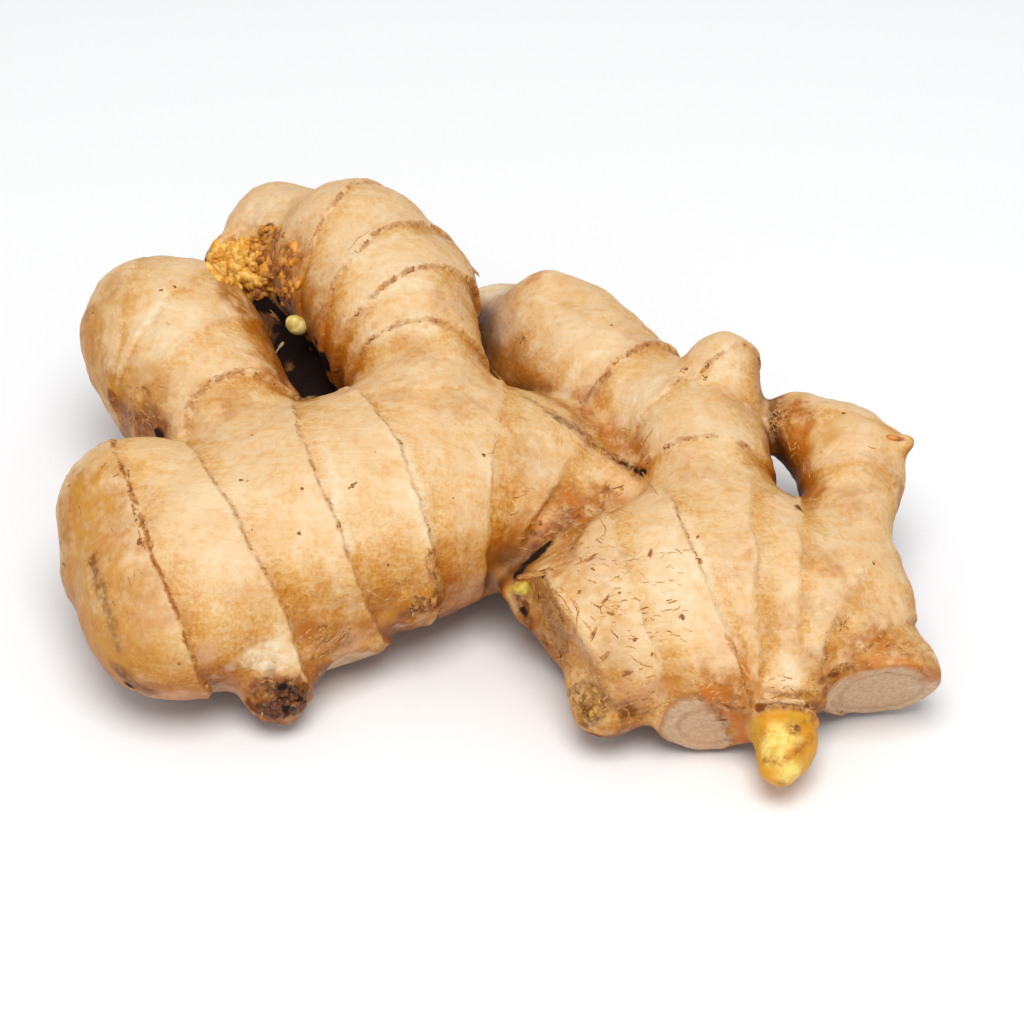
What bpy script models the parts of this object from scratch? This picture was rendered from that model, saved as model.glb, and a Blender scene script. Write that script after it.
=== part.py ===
# A fresh ginger root: one grown rhizome of swollen fingers, lying on three low spots.
# Every length below is in millimetres. The root stands on the plane z = 0, with its
# origin under the middle of its outline, its long side along x and its top along z.
# The form is a set of lobes, each a row of round sections along a bent centre line.
# The lobes run smoothly together into one body, which then gets its growth rings,
# lumps, crusts and cut scars.

import math

import bmesh
import bpy
import numpy as np
from mathutils import Matrix, Vector, noise

MM = 0.001              # metres in a millimetre
GRID = 1.1              # spacing of the modelling mesh
BLEND = 2.0             # how softly two lobes run together
TRIANGLES = 10400       # faces of the finished solid
OUTLINE_MIDDLE = (0.2, -1.1)    # where the middle of the outline is as modelled
CUT_EDGE = 0.6          # how far the rim of a cut face is rounded
SPLINE_STEPS = 5        # pieces of centre line between two sections
SECTION_SPACING = 0.3   # distance between the balls that fill a lobe, in radii

# One lobe: sections (x, y, z, radius) along its centre line, how much wider it is
# across y than it is high, and a cut face as (point, outward direction).
LOBES = {
    # The big left body, its blunt left end and a small swelling on it
    "front": {"sections": [(-60.5, -35.5, 20.8, 20), (-49.5, -28.5, 21.2, 21.5),
                           (-34, -20.5, 22.6, 22), (-16.5, -12.5, 22.6, 21.5),
                           (1.5, -4, 20.5, 17.5), (13.5, -3.5, 18, 14), (25, -7, 18, 9)],
              "wide": 1.28},
    "front_cap": {"sections": [(-69.5, -23, 27, 15.5)]},
    "front_bump": {"sections": [(-77.5, -32, 20, 6.5)]},
    # Two thick fingers that grow back and up from the left body
    "finger_left": {"sections": [(-49.5, -3.5, 27, 14), (-60, 15, 29, 17.5),
                                 (-65.5, 26, 31, 18.5), (-68.5, 29.5, 32, 17)]},
    "finger_tall": {"sections": [(-13.5, -3, 28, 17), (-14.5, 12, 33, 13),
                                 (-20.5, 28.5, 37, 17), (-28.4, 45, 40, 16.8)]},
    "tall_knob": {"sections": [(-14.5, 38.5, 37, 10.5)]},
    "finger_behind": {"sections": [(-34, 52.5, 35, 13), (-46.5, 64, 33, 12)]},
    # Low growth that closes the gap between those two fingers
    "web": {"sections": [(-42, 12, 12, 10), (-37, 27, 13, 11.5), (-40, 42, 16, 10),
                         (-46, 52, 20, 8)]},
    # The right body, shrivelled where it was broken off at its left end
    "right": {"sections": [(9.5, -48, 16, 13.5), (21, -46, 18, 16), (33.5, -38, 19, 18),
                           (47.5, -34.5, 18.6, 18.8), (60, -38.5, 17.5, 16), (69.5, -39, 18, 11)],
              "wide": 1.2,
              "cut": ((14.8, -49.2, 15.2), (-0.88, -0.43, -0.2))},
    # The joint between the two bodies, deep in the crease
    "joint": {"sections": [(8, -13, 14, 10), (21, -31, 14, 13)]},
    # The arm that runs back and left from it, with its knobs and a stub
    "arm": {"sections": [(43.5, -27, 21.5, 12.5), (42, -4, 26, 12.8), (33, 13, 22.5, 13.2),
                         (16.5, 34, 19.5, 17), (3, 47.5, 14, 15)]},
    "arm_tip": {"sections": [(-2, 53, 13, 8), (-6.5, 57.5, 12, 5)]},
    "arm_stub": {"sections": [(47.4, 5.5, 27, 6.8), (47.1, 15.5, 34.2, 7.5)]},
    "arm_knob": {"sections": [(12, 43.5, 30, 7), (18.5, 40.5, 29.3, 6)]},
    "arm_knob_low": {"sections": [(22, 32.5, 26, 6.6)]},
    # The short hooked finger at the right
    "finger_right": {"sections": [(70, -38, 19.5, 9.5), (70.2, -24, 24, 8.2),
                                  (72, -4.5, 24.6, 10.7), (62.8, 6, 26.4, 7.4)]},
    # Two stubs cut off flat, and an old round scar between them and the left end
    "stub_middle": {"sections": [(40.5, -53.5, 17, 12), (41.5, -62, 11, 10)],
                    "cut": ((39.5, -64, 10), (0, -0.97, -0.25))},
    "stub_right": {"sections": [(68, -47.5, 17, 11), (74.2, -55.3, 12.6, 12)],
                   "cut": ((74.5, -55.5, 9), (0.1, -0.9, -0.43))},
    "stub_left": {"sections": [(-33, -40, 13, 9.5), (-30, -42, 9.5, 8)],
                  "cut": ((-25.5, -41, 7), (0.25, -0.76, -0.6))},
    "round_scar": {"sections": [(23, -54, 13, 8.5), (21.2, -59, 10.6, 5.8)]},
    # Buds
    "crust_bud": {"sections": [(-57.5, 57, 31.5, 4.2), (-51, 55, 31, 6.8), (-46, 52, 29, 6.5),
                               (-42.5, 47, 28, 5)]},
    "yellow_bud": {"sections": [(56, -54, 15, 7), (55.5, -63, 11.5, 5.4),
                                (55.5, -67.5, 10, 6.3), (54.3, -73.5, 9.2, 4.3)]},
    "brown_bud": {"sections": [(-39.5, -48.5, 14, 7.5), (-41.5, -52.5, 9, 6)]},
    "point_bud": {"sections": [(78.5, -5, 30, 1.8), (82.8, -5.5, 31.6, 1)]},
    "green_bud": {"sections": [(8, -36, 15, 3), (4.5, -34.5, 17.5, 2)]},
}

# The growth rings: which lobes each one goes round, a point on it, and the heading
# and rise in degrees of the way it steps down, then its strength.
LEFT_BODY = ("front", "front_cap", "front_bump", "stub_left", "brown_bud")
LEFT_FINGER = ("finger_left",)
TALL_FINGER = ("finger_tall", "tall_knob", "finger_behind")
ARM = ("arm", "arm_tip", "arm_stub", "arm_knob", "arm_knob_low")
RIGHT_BODY = ("right", "stub_middle", "round_scar")
RIGHT_FINGER = ("finger_right", "point_bud")
RIGHT_STUB = ("stub_right", "right")
RINGS = [
    (LEFT_BODY, (-63.5, -46.5, 37.5), 17, 14, 0.8),
    (LEFT_BODY, (-47.5, -38.5, 35.5), 26, 11, 1.0),
    (LEFT_BODY, (-30.5, -32.5, 36), 15, 17, 1.0),
    (LEFT_BODY, (-16.5, -24.5, 36), 24, 1, 1.0),
    (LEFT_BODY, (0.5, -18.5, 34), -3, -3, 0.9),
    (LEFT_BODY, (13, -16, 28.5), -26, -9, 0.8),
    (LEFT_FINGER, (-54, 0.5, 42), -66, 33, 1.0),
    (LEFT_FINGER, (-60.5, 10.5, 45.5), -45, -5, 0.6),
    (LEFT_FINGER, (-67, 19, 47.5), -35, -4, 0.5),
    (LEFT_FINGER, (-75.5, 19.5, 45), -9, 5, 0.5),
    (TALL_FINGER, (-17.5, -3, 43), -87, -30, 0.5),
    (TALL_FINGER, (-15, 13, 45.5), -81, -2, 1.0),
    (TALL_FINGER, (-17.5, 23.5, 51.5), -56, -4, 1.0),
    (TALL_FINGER, (-23.5, 33, 54), -46, 7, 0.8),
    (TALL_FINGER, (-34.5, 40.5, 54), -34, 9, 0.9),
    (ARM, (20.5, 11.5, 32), -48, 6, 1.0),
    (ARM, (32.5, 2.5, 36), -57, 7, 0.6),
    (ARM, (40, -11.5, 36), -93, -12, 1.0),
    (RIGHT_BODY, (26.5, -45.5, 30.5), 12, 10, 0.6),
    (RIGHT_BODY, (41, -48.5, 30.5), 15, 12, 1.0),
    (RIGHT_BODY, (50, -48.5, 32.5), -3, 6, 0.8),
    (RIGHT_BODY, (58.5, -53, 27.5), -4, 3, 0.9),
    (RIGHT_STUB, (69, -47, 29.5), -32, 7, 0.8),
    (RIGHT_STUB, (73, -54, 22), -47, -18, 0.9),
    (RIGHT_FINGER, (72, -14, 34), -95, -10, 0.6),
    (RIGHT_FINGER, (74, -1, 36), -110, -15, 0.5),
]
RING_STEP = 0.5         # half the drop of the skin at a ring
RING_EDGE = 0.7         # how far that drop takes along the skin
RING_FADE = 6.0         # how far the swelling beside a ring reaches
RING_WAVER = 0.9        # how far a ring wanders from its plane
RING_LIP = 0.3          # the raised edge on a ring's high side

# Places with a surface of their own: centre, radius, rise, roughness and its grain
PATCHES = [
    ((-50, 54, 33), 15, 0.3, 1.1, 3.6),         # crusty bud in the gap
    ((-46, 22, 22), 18, 0.0, 0.8, 4.5),         # earthy floor of the gap
    ((8, -50, 15), 17, -0.4, 0.8, 6.0),         # shrivelled end of the right body
    ((20, -50, 27), 12, 0.0, 0.45, 3.5),        # flaky skin beside it
    ((-15.5, -39.5, 20), 6, 1.0, 0.7, 3.5),     # knobby scar under the left body
    ((20, -64, 12), 6, 0.3, 0.6, 3.0),          # round bud scar
    ((18, -17, 25), 8, 0.2, 0.6, 3.5),          # wrinkles where the bodies meet
    ((-41, -57, 9), 8, 0.3, 0.7, 3.2),          # brown bud
    ((55, -72, 9), 8, 0.3, 0.5, 4.0),           # yellow bud
    ((60, 4, 28), 8, -0.3, 0.7, 3.0),           # porous scar of the hooked finger
    ((-69, -45, 9), 5, -0.7, 0.4, 3.0),         # dark scar at the left foot
    ((38.5, 9.4, 39), 2.6, -0.9, 0.0, 3.0),     # pits of old roots on the arm
    ((42.8, 6.3, 39), 2.2, -0.7, 0.0, 3.0),
    ((-66, -3, 30), 7, -0.5, 0.5, 3.5),         # dark heel of the left finger
    ((-10, 40, 44), 5, 0.6, 0.5, 3.0),          # torn skin on the tall finger
]
LUMP_HEIGHT = 0.9       # soft lumps all over
LUMP_SIZE = 17.0
WRINKLE_HEIGHT = 0.18   # small unevenness of the skin
WRINKLE_SIZE = 5.0

SKIN = (0.80, 0.56, 0.31, 1.0)
SKIN_ROUGHNESS = 0.55


def unit(vector):
    vector = np.array(vector, float)
    return vector / np.linalg.norm(vector)


def heading(degrees, rise):
    """Unit vector that points along a compass heading and a rise."""
    turn = math.radians(degrees)
    lift = math.radians(rise)
    flat = math.cos(lift)
    return np.array([flat * math.cos(turn), flat * math.sin(turn), math.sin(lift)])


def centre_line(sections):
    """Catmull-Rom curve through the sections, as an array of x, y, z, radius."""
    points = np.array(sections, float)
    if len(points) == 1:
        return np.vstack([points, points + [0, 0, 0.01, 0]])
    ends = np.vstack([2 * points[0] - points[1], points, 2 * points[-1] - points[-2]])
    curve = []
    for before, start, end, after in zip(ends, ends[1:], ends[2:], ends[3:]):
        for step in range(SPLINE_STEPS):
            t = step / SPLINE_STEPS
            straight = 2 * start + (end - before) * t
            bend = (2 * before - 5 * start + 4 * end - after) * t * t
            twist = (3 * start - before - 3 * end + after) * t ** 3
            curve.append(0.5 * (straight + bend + twist))
    curve.append(points[-1])
    return np.array(curve)


LINES = {name: centre_line(lobe["sections"]) for name, lobe in LOBES.items()}
NAMES = list(LOBES)
FAR = 8.0               # a lobe farther off than this is measured by its box alone


def lobe_distance(name, points):
    """Distance from each point to the skin of one lobe, negative inside."""
    line = LINES[name]
    wide = LOBES[name].get("wide", 1.0)
    squash = np.array([1.0, 1.0 / wide, 1.0])
    here = points * squash
    best = np.full(len(points), 1e9)
    for start, end in zip(line[:-1], line[1:]):
        a = start[:3] * squash
        along = end[:3] * squash - a
        t = np.clip((here - a) @ along / max(along @ along, 1e-9), 0, 1)
        radius = start[3] + t * (end[3] - start[3])
        gap = np.linalg.norm(here - a - t[:, None] * along, axis=1) - radius
        best = np.minimum(best, gap)
    if "cut" in LOBES[name]:
        point, direction = LOBES[name]["cut"]
        past = (points - np.array(point)) @ unit(direction)
        best = np.maximum(best, past) + CUT_EDGE * np.exp(-np.abs(best - past) / CUT_EDGE)
    return best


def distances(points):
    """Distance from each point to every lobe, one row for each lobe."""
    rows = []
    for name in NAMES:
        line = LINES[name]
        reach = line[:, 3].max() * LOBES[name].get("wide", 1.0)
        low = line[:, :3].min(axis=0) - reach
        high = line[:, :3].max(axis=0) + reach
        off = np.linalg.norm(np.maximum(np.maximum(low - points, points - high), 0), axis=1)
        row = off + FAR
        near = off < FAR
        if near.any():
            row[near] = lobe_distance(name, points[near])
        rows.append(row)
    return np.array(rows)


def skin_distance(points):
    """Distance to the blended body, and each lobe's share in it."""
    rows = distances(points)
    nearest = rows.min(axis=0)
    pull = np.exp((nearest - rows) / BLEND)
    total = pull.sum(axis=0)
    return nearest - BLEND * np.log(total), pull / total


def slope(points, step=0.2):
    """Direction in which the distance to the body grows."""
    columns = []
    for axis in np.eye(3) * step:
        ahead = skin_distance(points + axis)[0]
        behind = skin_distance(points - axis)[0]
        columns.append((ahead - behind) / (2 * step))
    return np.stack(columns, axis=1)


def settle(points, rounds):
    """Move points onto the skin of the blended body."""
    for _ in range(rounds):
        gap = skin_distance(points)[0]
        push = slope(points)
        size = np.maximum((push ** 2).sum(axis=1), 0.25)
        points = points - push * np.clip(gap / size, -2, 2)[:, None]
    return points


def grain(points, size, seed=0.0):
    """Smooth noise between -1 and 1, of a given size."""
    shift = Vector((seed * 31.7, seed * 17.3, seed * 5.1))
    return np.array([noise.noise(Vector(p) / size + shift) for p in points])


def ring_relief(points, shares):
    """Steps at the growth rings, where each piece of stem overlaps the one before."""
    waver = RING_WAVER * grain(points, 9.0, 1) + 0.3 * grain(points, 3.0, 2)
    height = np.zeros(len(points))
    for lobes, point, turn, rise, strength in RINGS:
        share = sum(shares[NAMES.index(name)] for name in lobes)
        share = np.clip(share * 1.6 - 0.3, 0, 1)
        past = (points - np.array(point)) @ heading(turn, rise) + waver
        drop = -np.tanh(past / RING_EDGE) * np.exp(-np.abs(past) / RING_FADE)
        lip = np.exp(-((past + 0.8) / 0.9) ** 2)
        height += strength * share * (RING_STEP * drop + RING_LIP * lip)
    return height


def patch_relief(points):
    """Rise and roughness of the crusts, scars and pits."""
    height = np.zeros(len(points))
    for number, (centre, radius, rise, rough, size) in enumerate(PATCHES):
        off = np.linalg.norm(points - np.array(centre), axis=1) / radius
        inside = np.where(off < 1)[0]
        fade = np.clip(2.0 * (1 - off[inside]), 0, 1)
        fade = fade * fade * (3 - 2 * fade)
        if rough > 0:
            bumps = rough * grain(points[inside], size, 10 + number)
        else:
            bumps = 0.0
        height[inside] += fade * (rise + bumps)
    return height


def relief(points, shares):
    lumps = LUMP_HEIGHT * grain(points, LUMP_SIZE, 3)
    wrinkles = WRINKLE_HEIGHT * grain(points, WRINKLE_SIZE, 4)
    return lumps + wrinkles + ring_relief(points, shares) + patch_relief(points)


def clear_scene():
    for item in list(bpy.data.objects):
        bpy.data.objects.remove(item, do_unlink=True)


def rough_body():
    """Balls along every centre line, with the cut lobes cut, as one loose mesh."""
    mesh = bmesh.new()
    for name, lobe in LOBES.items():
        wide = lobe.get("wide", 1.0)
        line = LINES[name]
        for start, end in zip(line[:-1], line[1:]):
            length = np.linalg.norm(end[:3] - start[:3])
            count = max(1, math.ceil(length / (SECTION_SPACING * start[3])))
            for step in range(count):
                ball = start + (end - start) * step / count
                place = Matrix.Translation(Vector(ball[:3]) * MM)
                size = Matrix.Diagonal((ball[3] * MM, wide * ball[3] * MM, ball[3] * MM, 1))
                made = bmesh.ops.create_icosphere(mesh, subdivisions=3, radius=1.0,
                                                  matrix=place @ size)
                if "cut" in lobe:
                    cut_ball(mesh, made["verts"], lobe["cut"])
    return mesh


def cut_ball(mesh, verts, cut):
    """Slice one ball by a plane, drop what is past it and close the face."""
    point, direction = cut
    faces = {face for vert in verts for face in vert.link_faces}
    edges = {edge for vert in verts for edge in vert.link_edges}
    sliced = bmesh.ops.bisect_plane(mesh, geom=list(verts) + list(edges) + list(faces),
                                    plane_co=Vector(point) * MM,
                                    plane_no=Vector(unit(direction)), clear_outer=True)
    rim = [item for item in sliced["geom_cut"] if isinstance(item, bmesh.types.BMEdge)]
    if rim:
        bmesh.ops.holes_fill(mesh, edges=rim)


def remesh(mesh, size):
    """Even closed skin round everything in the mesh, as an array of points and faces."""
    data = bpy.data.meshes.new("skin")
    mesh.to_mesh(data)
    mesh.free()
    body = bpy.data.objects.new("skin", data)
    bpy.context.collection.objects.link(body)
    grid = body.modifiers.new("Even skin", "REMESH")
    grid.mode = "VOXEL"
    grid.voxel_size = size * MM
    shaped = body.evaluated_get(bpy.context.evaluated_depsgraph_get())
    result = bmesh.new()
    result.from_mesh(shaped.to_mesh())
    shaped.to_mesh_clear()
    bpy.data.objects.remove(body, do_unlink=True)
    bpy.data.meshes.remove(data)
    return result


def read_points(mesh):
    return np.array([vert.co[:] for vert in mesh.verts]) / MM


def write_points(mesh, points):
    for vert, point in zip(mesh.verts, points * MM):
        vert.co = point


def largest_body(mesh):
    """Keep the biggest connected skin and delete any speck beside it."""
    left = set(mesh.verts)
    bodies = []
    while left:
        reach = [left.pop()]
        body = list(reach)
        while reach:
            vert = reach.pop()
            for edge in vert.link_edges:
                other = edge.other_vert(vert)
                if other in left:
                    left.remove(other)
                    reach.append(other)
                    body.append(other)
        bodies.append(body)
    bodies.sort(key=len)
    for body in bodies[:-1]:
        bmesh.ops.delete(mesh, geom=body, context="VERTS")


def fine_body():
    """The smooth body with all its relief, as a fine mesh."""
    mesh = remesh(rough_body(), GRID)
    largest_body(mesh)
    write_points(mesh, settle(read_points(mesh), 5))
    mesh = remesh(mesh, GRID)
    points = settle(read_points(mesh), 3)
    outward = slope(points)
    outward /= np.linalg.norm(outward, axis=1, keepdims=True)
    shares = skin_distance(points)[1]
    write_points(mesh, points + outward * relief(points, shares)[:, None])
    return mesh


def thin_out(mesh, triangles):
    """Fewer faces, spent where the skin bends most."""
    bmesh.ops.triangulate(mesh, faces=mesh.faces[:])
    data = bpy.data.meshes.new("thin")
    mesh.to_mesh(data)
    body = bpy.data.objects.new("thin", data)
    bpy.context.collection.objects.link(body)
    fewer = body.modifiers.new("Fewer faces", "DECIMATE")
    fewer.decimate_type = "COLLAPSE"
    fewer.ratio = triangles / len(mesh.faces)
    mesh.free()
    shaped = body.evaluated_get(bpy.context.evaluated_depsgraph_get())
    result = bmesh.new()
    result.from_mesh(shaped.to_mesh())
    shaped.to_mesh_clear()
    bpy.data.objects.remove(body, do_unlink=True)
    bpy.data.meshes.remove(data)
    return result


def cut_resting_spots(mesh):
    """Flatten what reaches below z = 0, so that the root lies on small flat spots."""
    geometry = mesh.verts[:] + mesh.edges[:] + mesh.faces[:]
    sliced = bmesh.ops.bisect_plane(mesh, geom=geometry, dist=1e-7, plane_co=(0, 0, 0),
                                    plane_no=(0, 0, 1), clear_inner=True)
    rim = [item for item in sliced["geom_cut"] if isinstance(item, bmesh.types.BMEdge)]
    bmesh.ops.holes_fill(mesh, edges=rim)
    bmesh.ops.triangulate(mesh, faces=[face for face in mesh.faces if len(face.verts) > 3])


def skin_material():
    material = bpy.data.materials.new("ginger_skin")
    material.use_nodes = True
    shader = material.node_tree.nodes["Principled BSDF"]
    shader.inputs["Base Color"].default_value = SKIN
    shader.inputs["Roughness"].default_value = SKIN_ROUGHNESS
    shader.inputs["Metallic"].default_value = 0.0
    return material


def main():
    clear_scene()
    mesh = thin_out(fine_body(), TRIANGLES)
    cut_resting_spots(mesh)
    bmesh.ops.recalc_face_normals(mesh, faces=mesh.faces[:])
    middle = Vector((*OUTLINE_MIDDLE, 0)) * MM
    bmesh.ops.translate(mesh, verts=mesh.verts[:], vec=-middle)
    data = bpy.data.meshes.new("ginger_root")
    mesh.to_mesh(data)
    mesh.free()
    data.materials.append(skin_material())
    data.shade_smooth()
    root = bpy.data.objects.new("ginger_root", data)
    bpy.context.collection.objects.link(root)


main()
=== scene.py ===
import math
import random

import bmesh
import bpy
import numpy as np
from mathutils import Matrix, Vector, noise
from mathutils.bvhtree import BVHTree


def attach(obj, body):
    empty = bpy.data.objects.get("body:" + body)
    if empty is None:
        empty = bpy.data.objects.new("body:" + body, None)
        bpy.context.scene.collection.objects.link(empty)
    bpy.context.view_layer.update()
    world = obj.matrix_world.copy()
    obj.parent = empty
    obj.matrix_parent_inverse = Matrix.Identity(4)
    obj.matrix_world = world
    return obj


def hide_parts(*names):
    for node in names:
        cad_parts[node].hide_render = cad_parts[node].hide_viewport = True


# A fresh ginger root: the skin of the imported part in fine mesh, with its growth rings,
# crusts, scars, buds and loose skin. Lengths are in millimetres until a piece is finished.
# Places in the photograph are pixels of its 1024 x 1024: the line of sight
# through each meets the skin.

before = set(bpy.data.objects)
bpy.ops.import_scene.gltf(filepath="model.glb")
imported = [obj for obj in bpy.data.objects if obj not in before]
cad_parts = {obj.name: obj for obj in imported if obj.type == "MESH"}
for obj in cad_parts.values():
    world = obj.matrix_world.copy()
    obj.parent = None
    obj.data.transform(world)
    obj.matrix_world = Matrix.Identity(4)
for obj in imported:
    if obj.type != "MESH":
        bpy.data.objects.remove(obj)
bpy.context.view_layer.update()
metre = 1000.0          # millimetres in a metre
noise.seed_set(3)       # keeps the shapes of crumbs, scars and buds the same in every run
print("frame loaded")


# View
view = {
    "target": (3.8, -11.9, 20.0),   # what the camera looks at
    "elevation": 40.0,              # degrees above the floor
    "distance": 620.0,
    "pixel": 0.2,                   # size of a photograph's pixel at the target
    "imageWidth": 1024,
    "sensor": 36.0,
}
tilt = math.radians(view["elevation"])
lookAlong = np.array([0.0, math.cos(tilt), -math.sin(tilt)])
lookUp = np.array([0.0, math.sin(tilt), math.cos(tilt)])
eye = np.array(view["target"]) - lookAlong * view["distance"]


def sightLine(pixel):
    # Direction from the eye through a pixel of the photograph
    middle = view["imageWidth"] / 2
    right = (pixel[0] - middle) * view["pixel"]
    up = (middle - pixel[1]) * view["pixel"]
    line = lookAlong * view["distance"] + np.array([right, 0, 0]) + lookUp * up
    return line / np.linalg.norm(line)


# Form of the root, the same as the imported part's
form = {
    "outlineMiddle": (0.2, -1.1),   # where the middle of the outline is as it grew
    "blend": 2.0,                   # how softly two lobes run together
    "cutEdge": 0.6,                 # how far the rim of a cut face is rounded
    "splineSteps": 5,
    "grid": 1.1,                    # spacing of the even mesh
    "triangles": 188000,            # faces of the finished skin
}

# One lobe: sections (x, y, z, radius), how much wider it is across y, and a cut face
lobes = {
    "front": {"sections": [(-60.5, -35.5, 20.8, 20), (-49.5, -28.5, 21.2, 21.5),
                           (-34, -20.5, 22.6, 22), (-16.5, -12.5, 22.6, 21.5),
                           (1.5, -4, 20.5, 17.5), (13.5, -3.5, 18, 14), (25, -7, 18, 9)],
              "wide": 1.28},
    "frontCap": {"sections": [(-69.5, -23, 27, 15.5)]},
    "frontBump": {"sections": [(-77.5, -32, 20, 6.5)]},
    "fingerLeft": {"sections": [(-49.5, -3.5, 27, 14), (-60, 15, 29, 17.5),
                                (-65.5, 26, 31, 18.5), (-68.5, 29.5, 32, 17)]},
    "fingerTall": {"sections": [(-13.5, -3, 28, 17), (-14.5, 12, 33, 13),
                                (-20.5, 28.5, 37, 17), (-28.4, 45, 40, 16.8)]},
    "tallKnob": {"sections": [(-14.5, 38.5, 37, 10.5)]},
    "fingerBehind": {"sections": [(-34, 52.5, 35, 13), (-46.5, 64, 33, 12)]},
    "web": {"sections": [(-42, 12, 12, 10), (-37, 27, 13, 11.5), (-40, 42, 16, 10),
                         (-46, 52, 20, 8)]},
    "right": {"sections": [(9.5, -48, 16, 13.5), (21, -46, 18, 16), (33.5, -38, 19, 18),
                           (47.5, -34.5, 18.6, 18.8), (60, -38.5, 17.5, 16), (69.5, -39, 18, 11)],
              "wide": 1.2,
              "cut": ((14.8, -49.2, 15.2), (-0.88, -0.43, -0.2))},
    "joint": {"sections": [(8, -13, 14, 10), (21, -31, 14, 13)]},
    "arm": {"sections": [(43.5, -27, 21.5, 12.5), (42, -4, 26, 12.8), (33, 13, 22.5, 13.2),
                         (16.5, 34, 19.5, 17), (3, 47.5, 14, 15)]},
    "armTip": {"sections": [(-2, 53, 13, 8), (-6.5, 57.5, 12, 5)]},
    "armStub": {"sections": [(47.4, 5.5, 27, 6.8), (47.1, 15.5, 34.2, 7.5)]},
    "armKnob": {"sections": [(12, 43.5, 30, 7), (18.5, 40.5, 29.3, 6)]},
    "armKnobLow": {"sections": [(22, 32.5, 26, 6.6)]},
    "fingerRight": {"sections": [(70, -38, 19.5, 9.5), (70.2, -24, 24, 8.2),
                                 (72, -4.5, 24.6, 10.7), (62.8, 6, 26.4, 7.4)]},
    "stubMiddle": {"sections": [(40.5, -53.5, 17, 12), (41.5, -62, 11, 10)],
                   "cut": ((39.5, -64, 10), (0, -0.97, -0.25)), "tornAt": 46.0},
    "stubRight": {"sections": [(68, -47.5, 17, 11), (74.2, -55.3, 12.6, 12)],
                  "cut": ((74.5, -55.5, 9), (0.1, -0.9, -0.43))},
    "stubLeft": {"sections": [(-33, -40, 13, 9.5), (-30, -42, 9.5, 8)],
                 "cut": ((-25.5, -41, 7), (0.25, -0.76, -0.6))},
    "roundScar": {"sections": [(23, -54, 13, 8.5), (21.2, -59, 10.6, 5.8)]},
    "crustBud": {"sections": [(-57.5, 57, 31.5, 4.2), (-51, 55, 31, 6.8), (-46, 52, 29, 6.5),
                              (-42.5, 47, 28, 5)]},
    "yellowBud": {"sections": [(56, -54, 15, 7), (55.5, -63, 11.5, 5.4),
                               (55.5, -67.5, 10, 6.3), (54.3, -73.5, 9.2, 4.3)]},
    "brownBud": {"sections": [(-39.5, -48.5, 14, 7.5), (-41.5, -52.5, 9, 6)]},
    "pointBud": {"sections": [(78.5, -5, 30, 1.8), (82.8, -5.5, 31.6, 1)]},
    "greenBud": {"sections": [(8, -36, 15, 3), (4.5, -34.5, 17.5, 2)]},
}


def unit(vector):
    vector = np.array(vector, float)
    return vector / np.linalg.norm(vector)


def heading(degrees, rise):
    turn = math.radians(degrees)
    lift = math.radians(rise)
    flat = math.cos(lift)
    return np.array([flat * math.cos(turn), flat * math.sin(turn), math.sin(lift)])


def centreLine(sections):
    # Catmull-Rom curve through the sections
    points = np.array(sections, float)
    if len(points) == 1:
        return np.vstack([points, points + [0, 0, 0.01, 0]])
    ends = np.vstack([2 * points[0] - points[1], points, 2 * points[-1] - points[-2]])
    curve = []
    for before, start, end, after in zip(ends, ends[1:], ends[2:], ends[3:]):
        for step in range(form["splineSteps"]):
            t = step / form["splineSteps"]
            straight = 2 * start + (end - before) * t
            bend = (2 * before - 5 * start + 4 * end - after) * t * t
            twist = (3 * start - before - 3 * end + after) * t ** 3
            curve.append(0.5 * (straight + bend + twist))
    curve.append(points[-1])
    return np.array(curve)


centreLines = {name: centreLine(lobe["sections"]) for name, lobe in lobes.items()}
lobeNames = list(lobes)
farAway = 8.0           # a lobe farther off than this is measured by its box alone


def lobeDistance(name, points):
    line = centreLines[name]
    wide = lobes[name].get("wide", 1.0)
    squash = np.array([1.0, 1.0 / wide, 1.0])
    here = points * squash
    best = np.full(len(points), 1e9)
    for start, end in zip(line[:-1], line[1:]):
        a = start[:3] * squash
        along = end[:3] * squash - a
        t = np.clip((here - a) @ along / max(along @ along, 1e-9), 0, 1)
        off = here - a - t[:, None] * along
        gap = np.sqrt(np.einsum("ij,ij->i", off, off)) - start[3] - t * (end[3] - start[3])
        best = np.minimum(best, gap)
    if "cut" in lobes[name]:
        point, direction = lobes[name]["cut"]
        past = (points - np.array(point)) @ unit(direction)
        rounding = form["cutEdge"]
        best = np.maximum(best, past) + rounding * np.exp(-np.abs(best - past) / rounding)
    return best


def skinDistance(points):
    # Distance to the blended root, and each lobe's share in it
    rows = []
    for name in lobeNames:
        line = centreLines[name]
        reach = line[:, 3].max() * lobes[name].get("wide", 1.0)
        low = line[:, :3].min(axis=0) - reach
        high = line[:, :3].max(axis=0) + reach
        off = np.linalg.norm(np.maximum(np.maximum(low - points, points - high), 0), axis=1)
        row = off + farAway
        near = off < farAway
        if near.any():
            row[near] = lobeDistance(name, points[near])
        rows.append(row)
    rows = np.array(rows)
    nearest = rows.min(axis=0)
    pull = np.exp((nearest - rows) / form["blend"])
    total = pull.sum(axis=0)
    return nearest - form["blend"] * np.log(total), pull / total


def grain(points, size, seed=0.0):
    # Smooth noise between -1 and 1, of a given size
    places = points / size + seed * np.array([31.7, 17.3, 5.1])
    return np.array([noise.noise(place) for place in places.tolist()])


def smooth(values):
    values = np.clip(values, 0, 1)
    return values * values * (3 - 2 * values)


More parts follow.
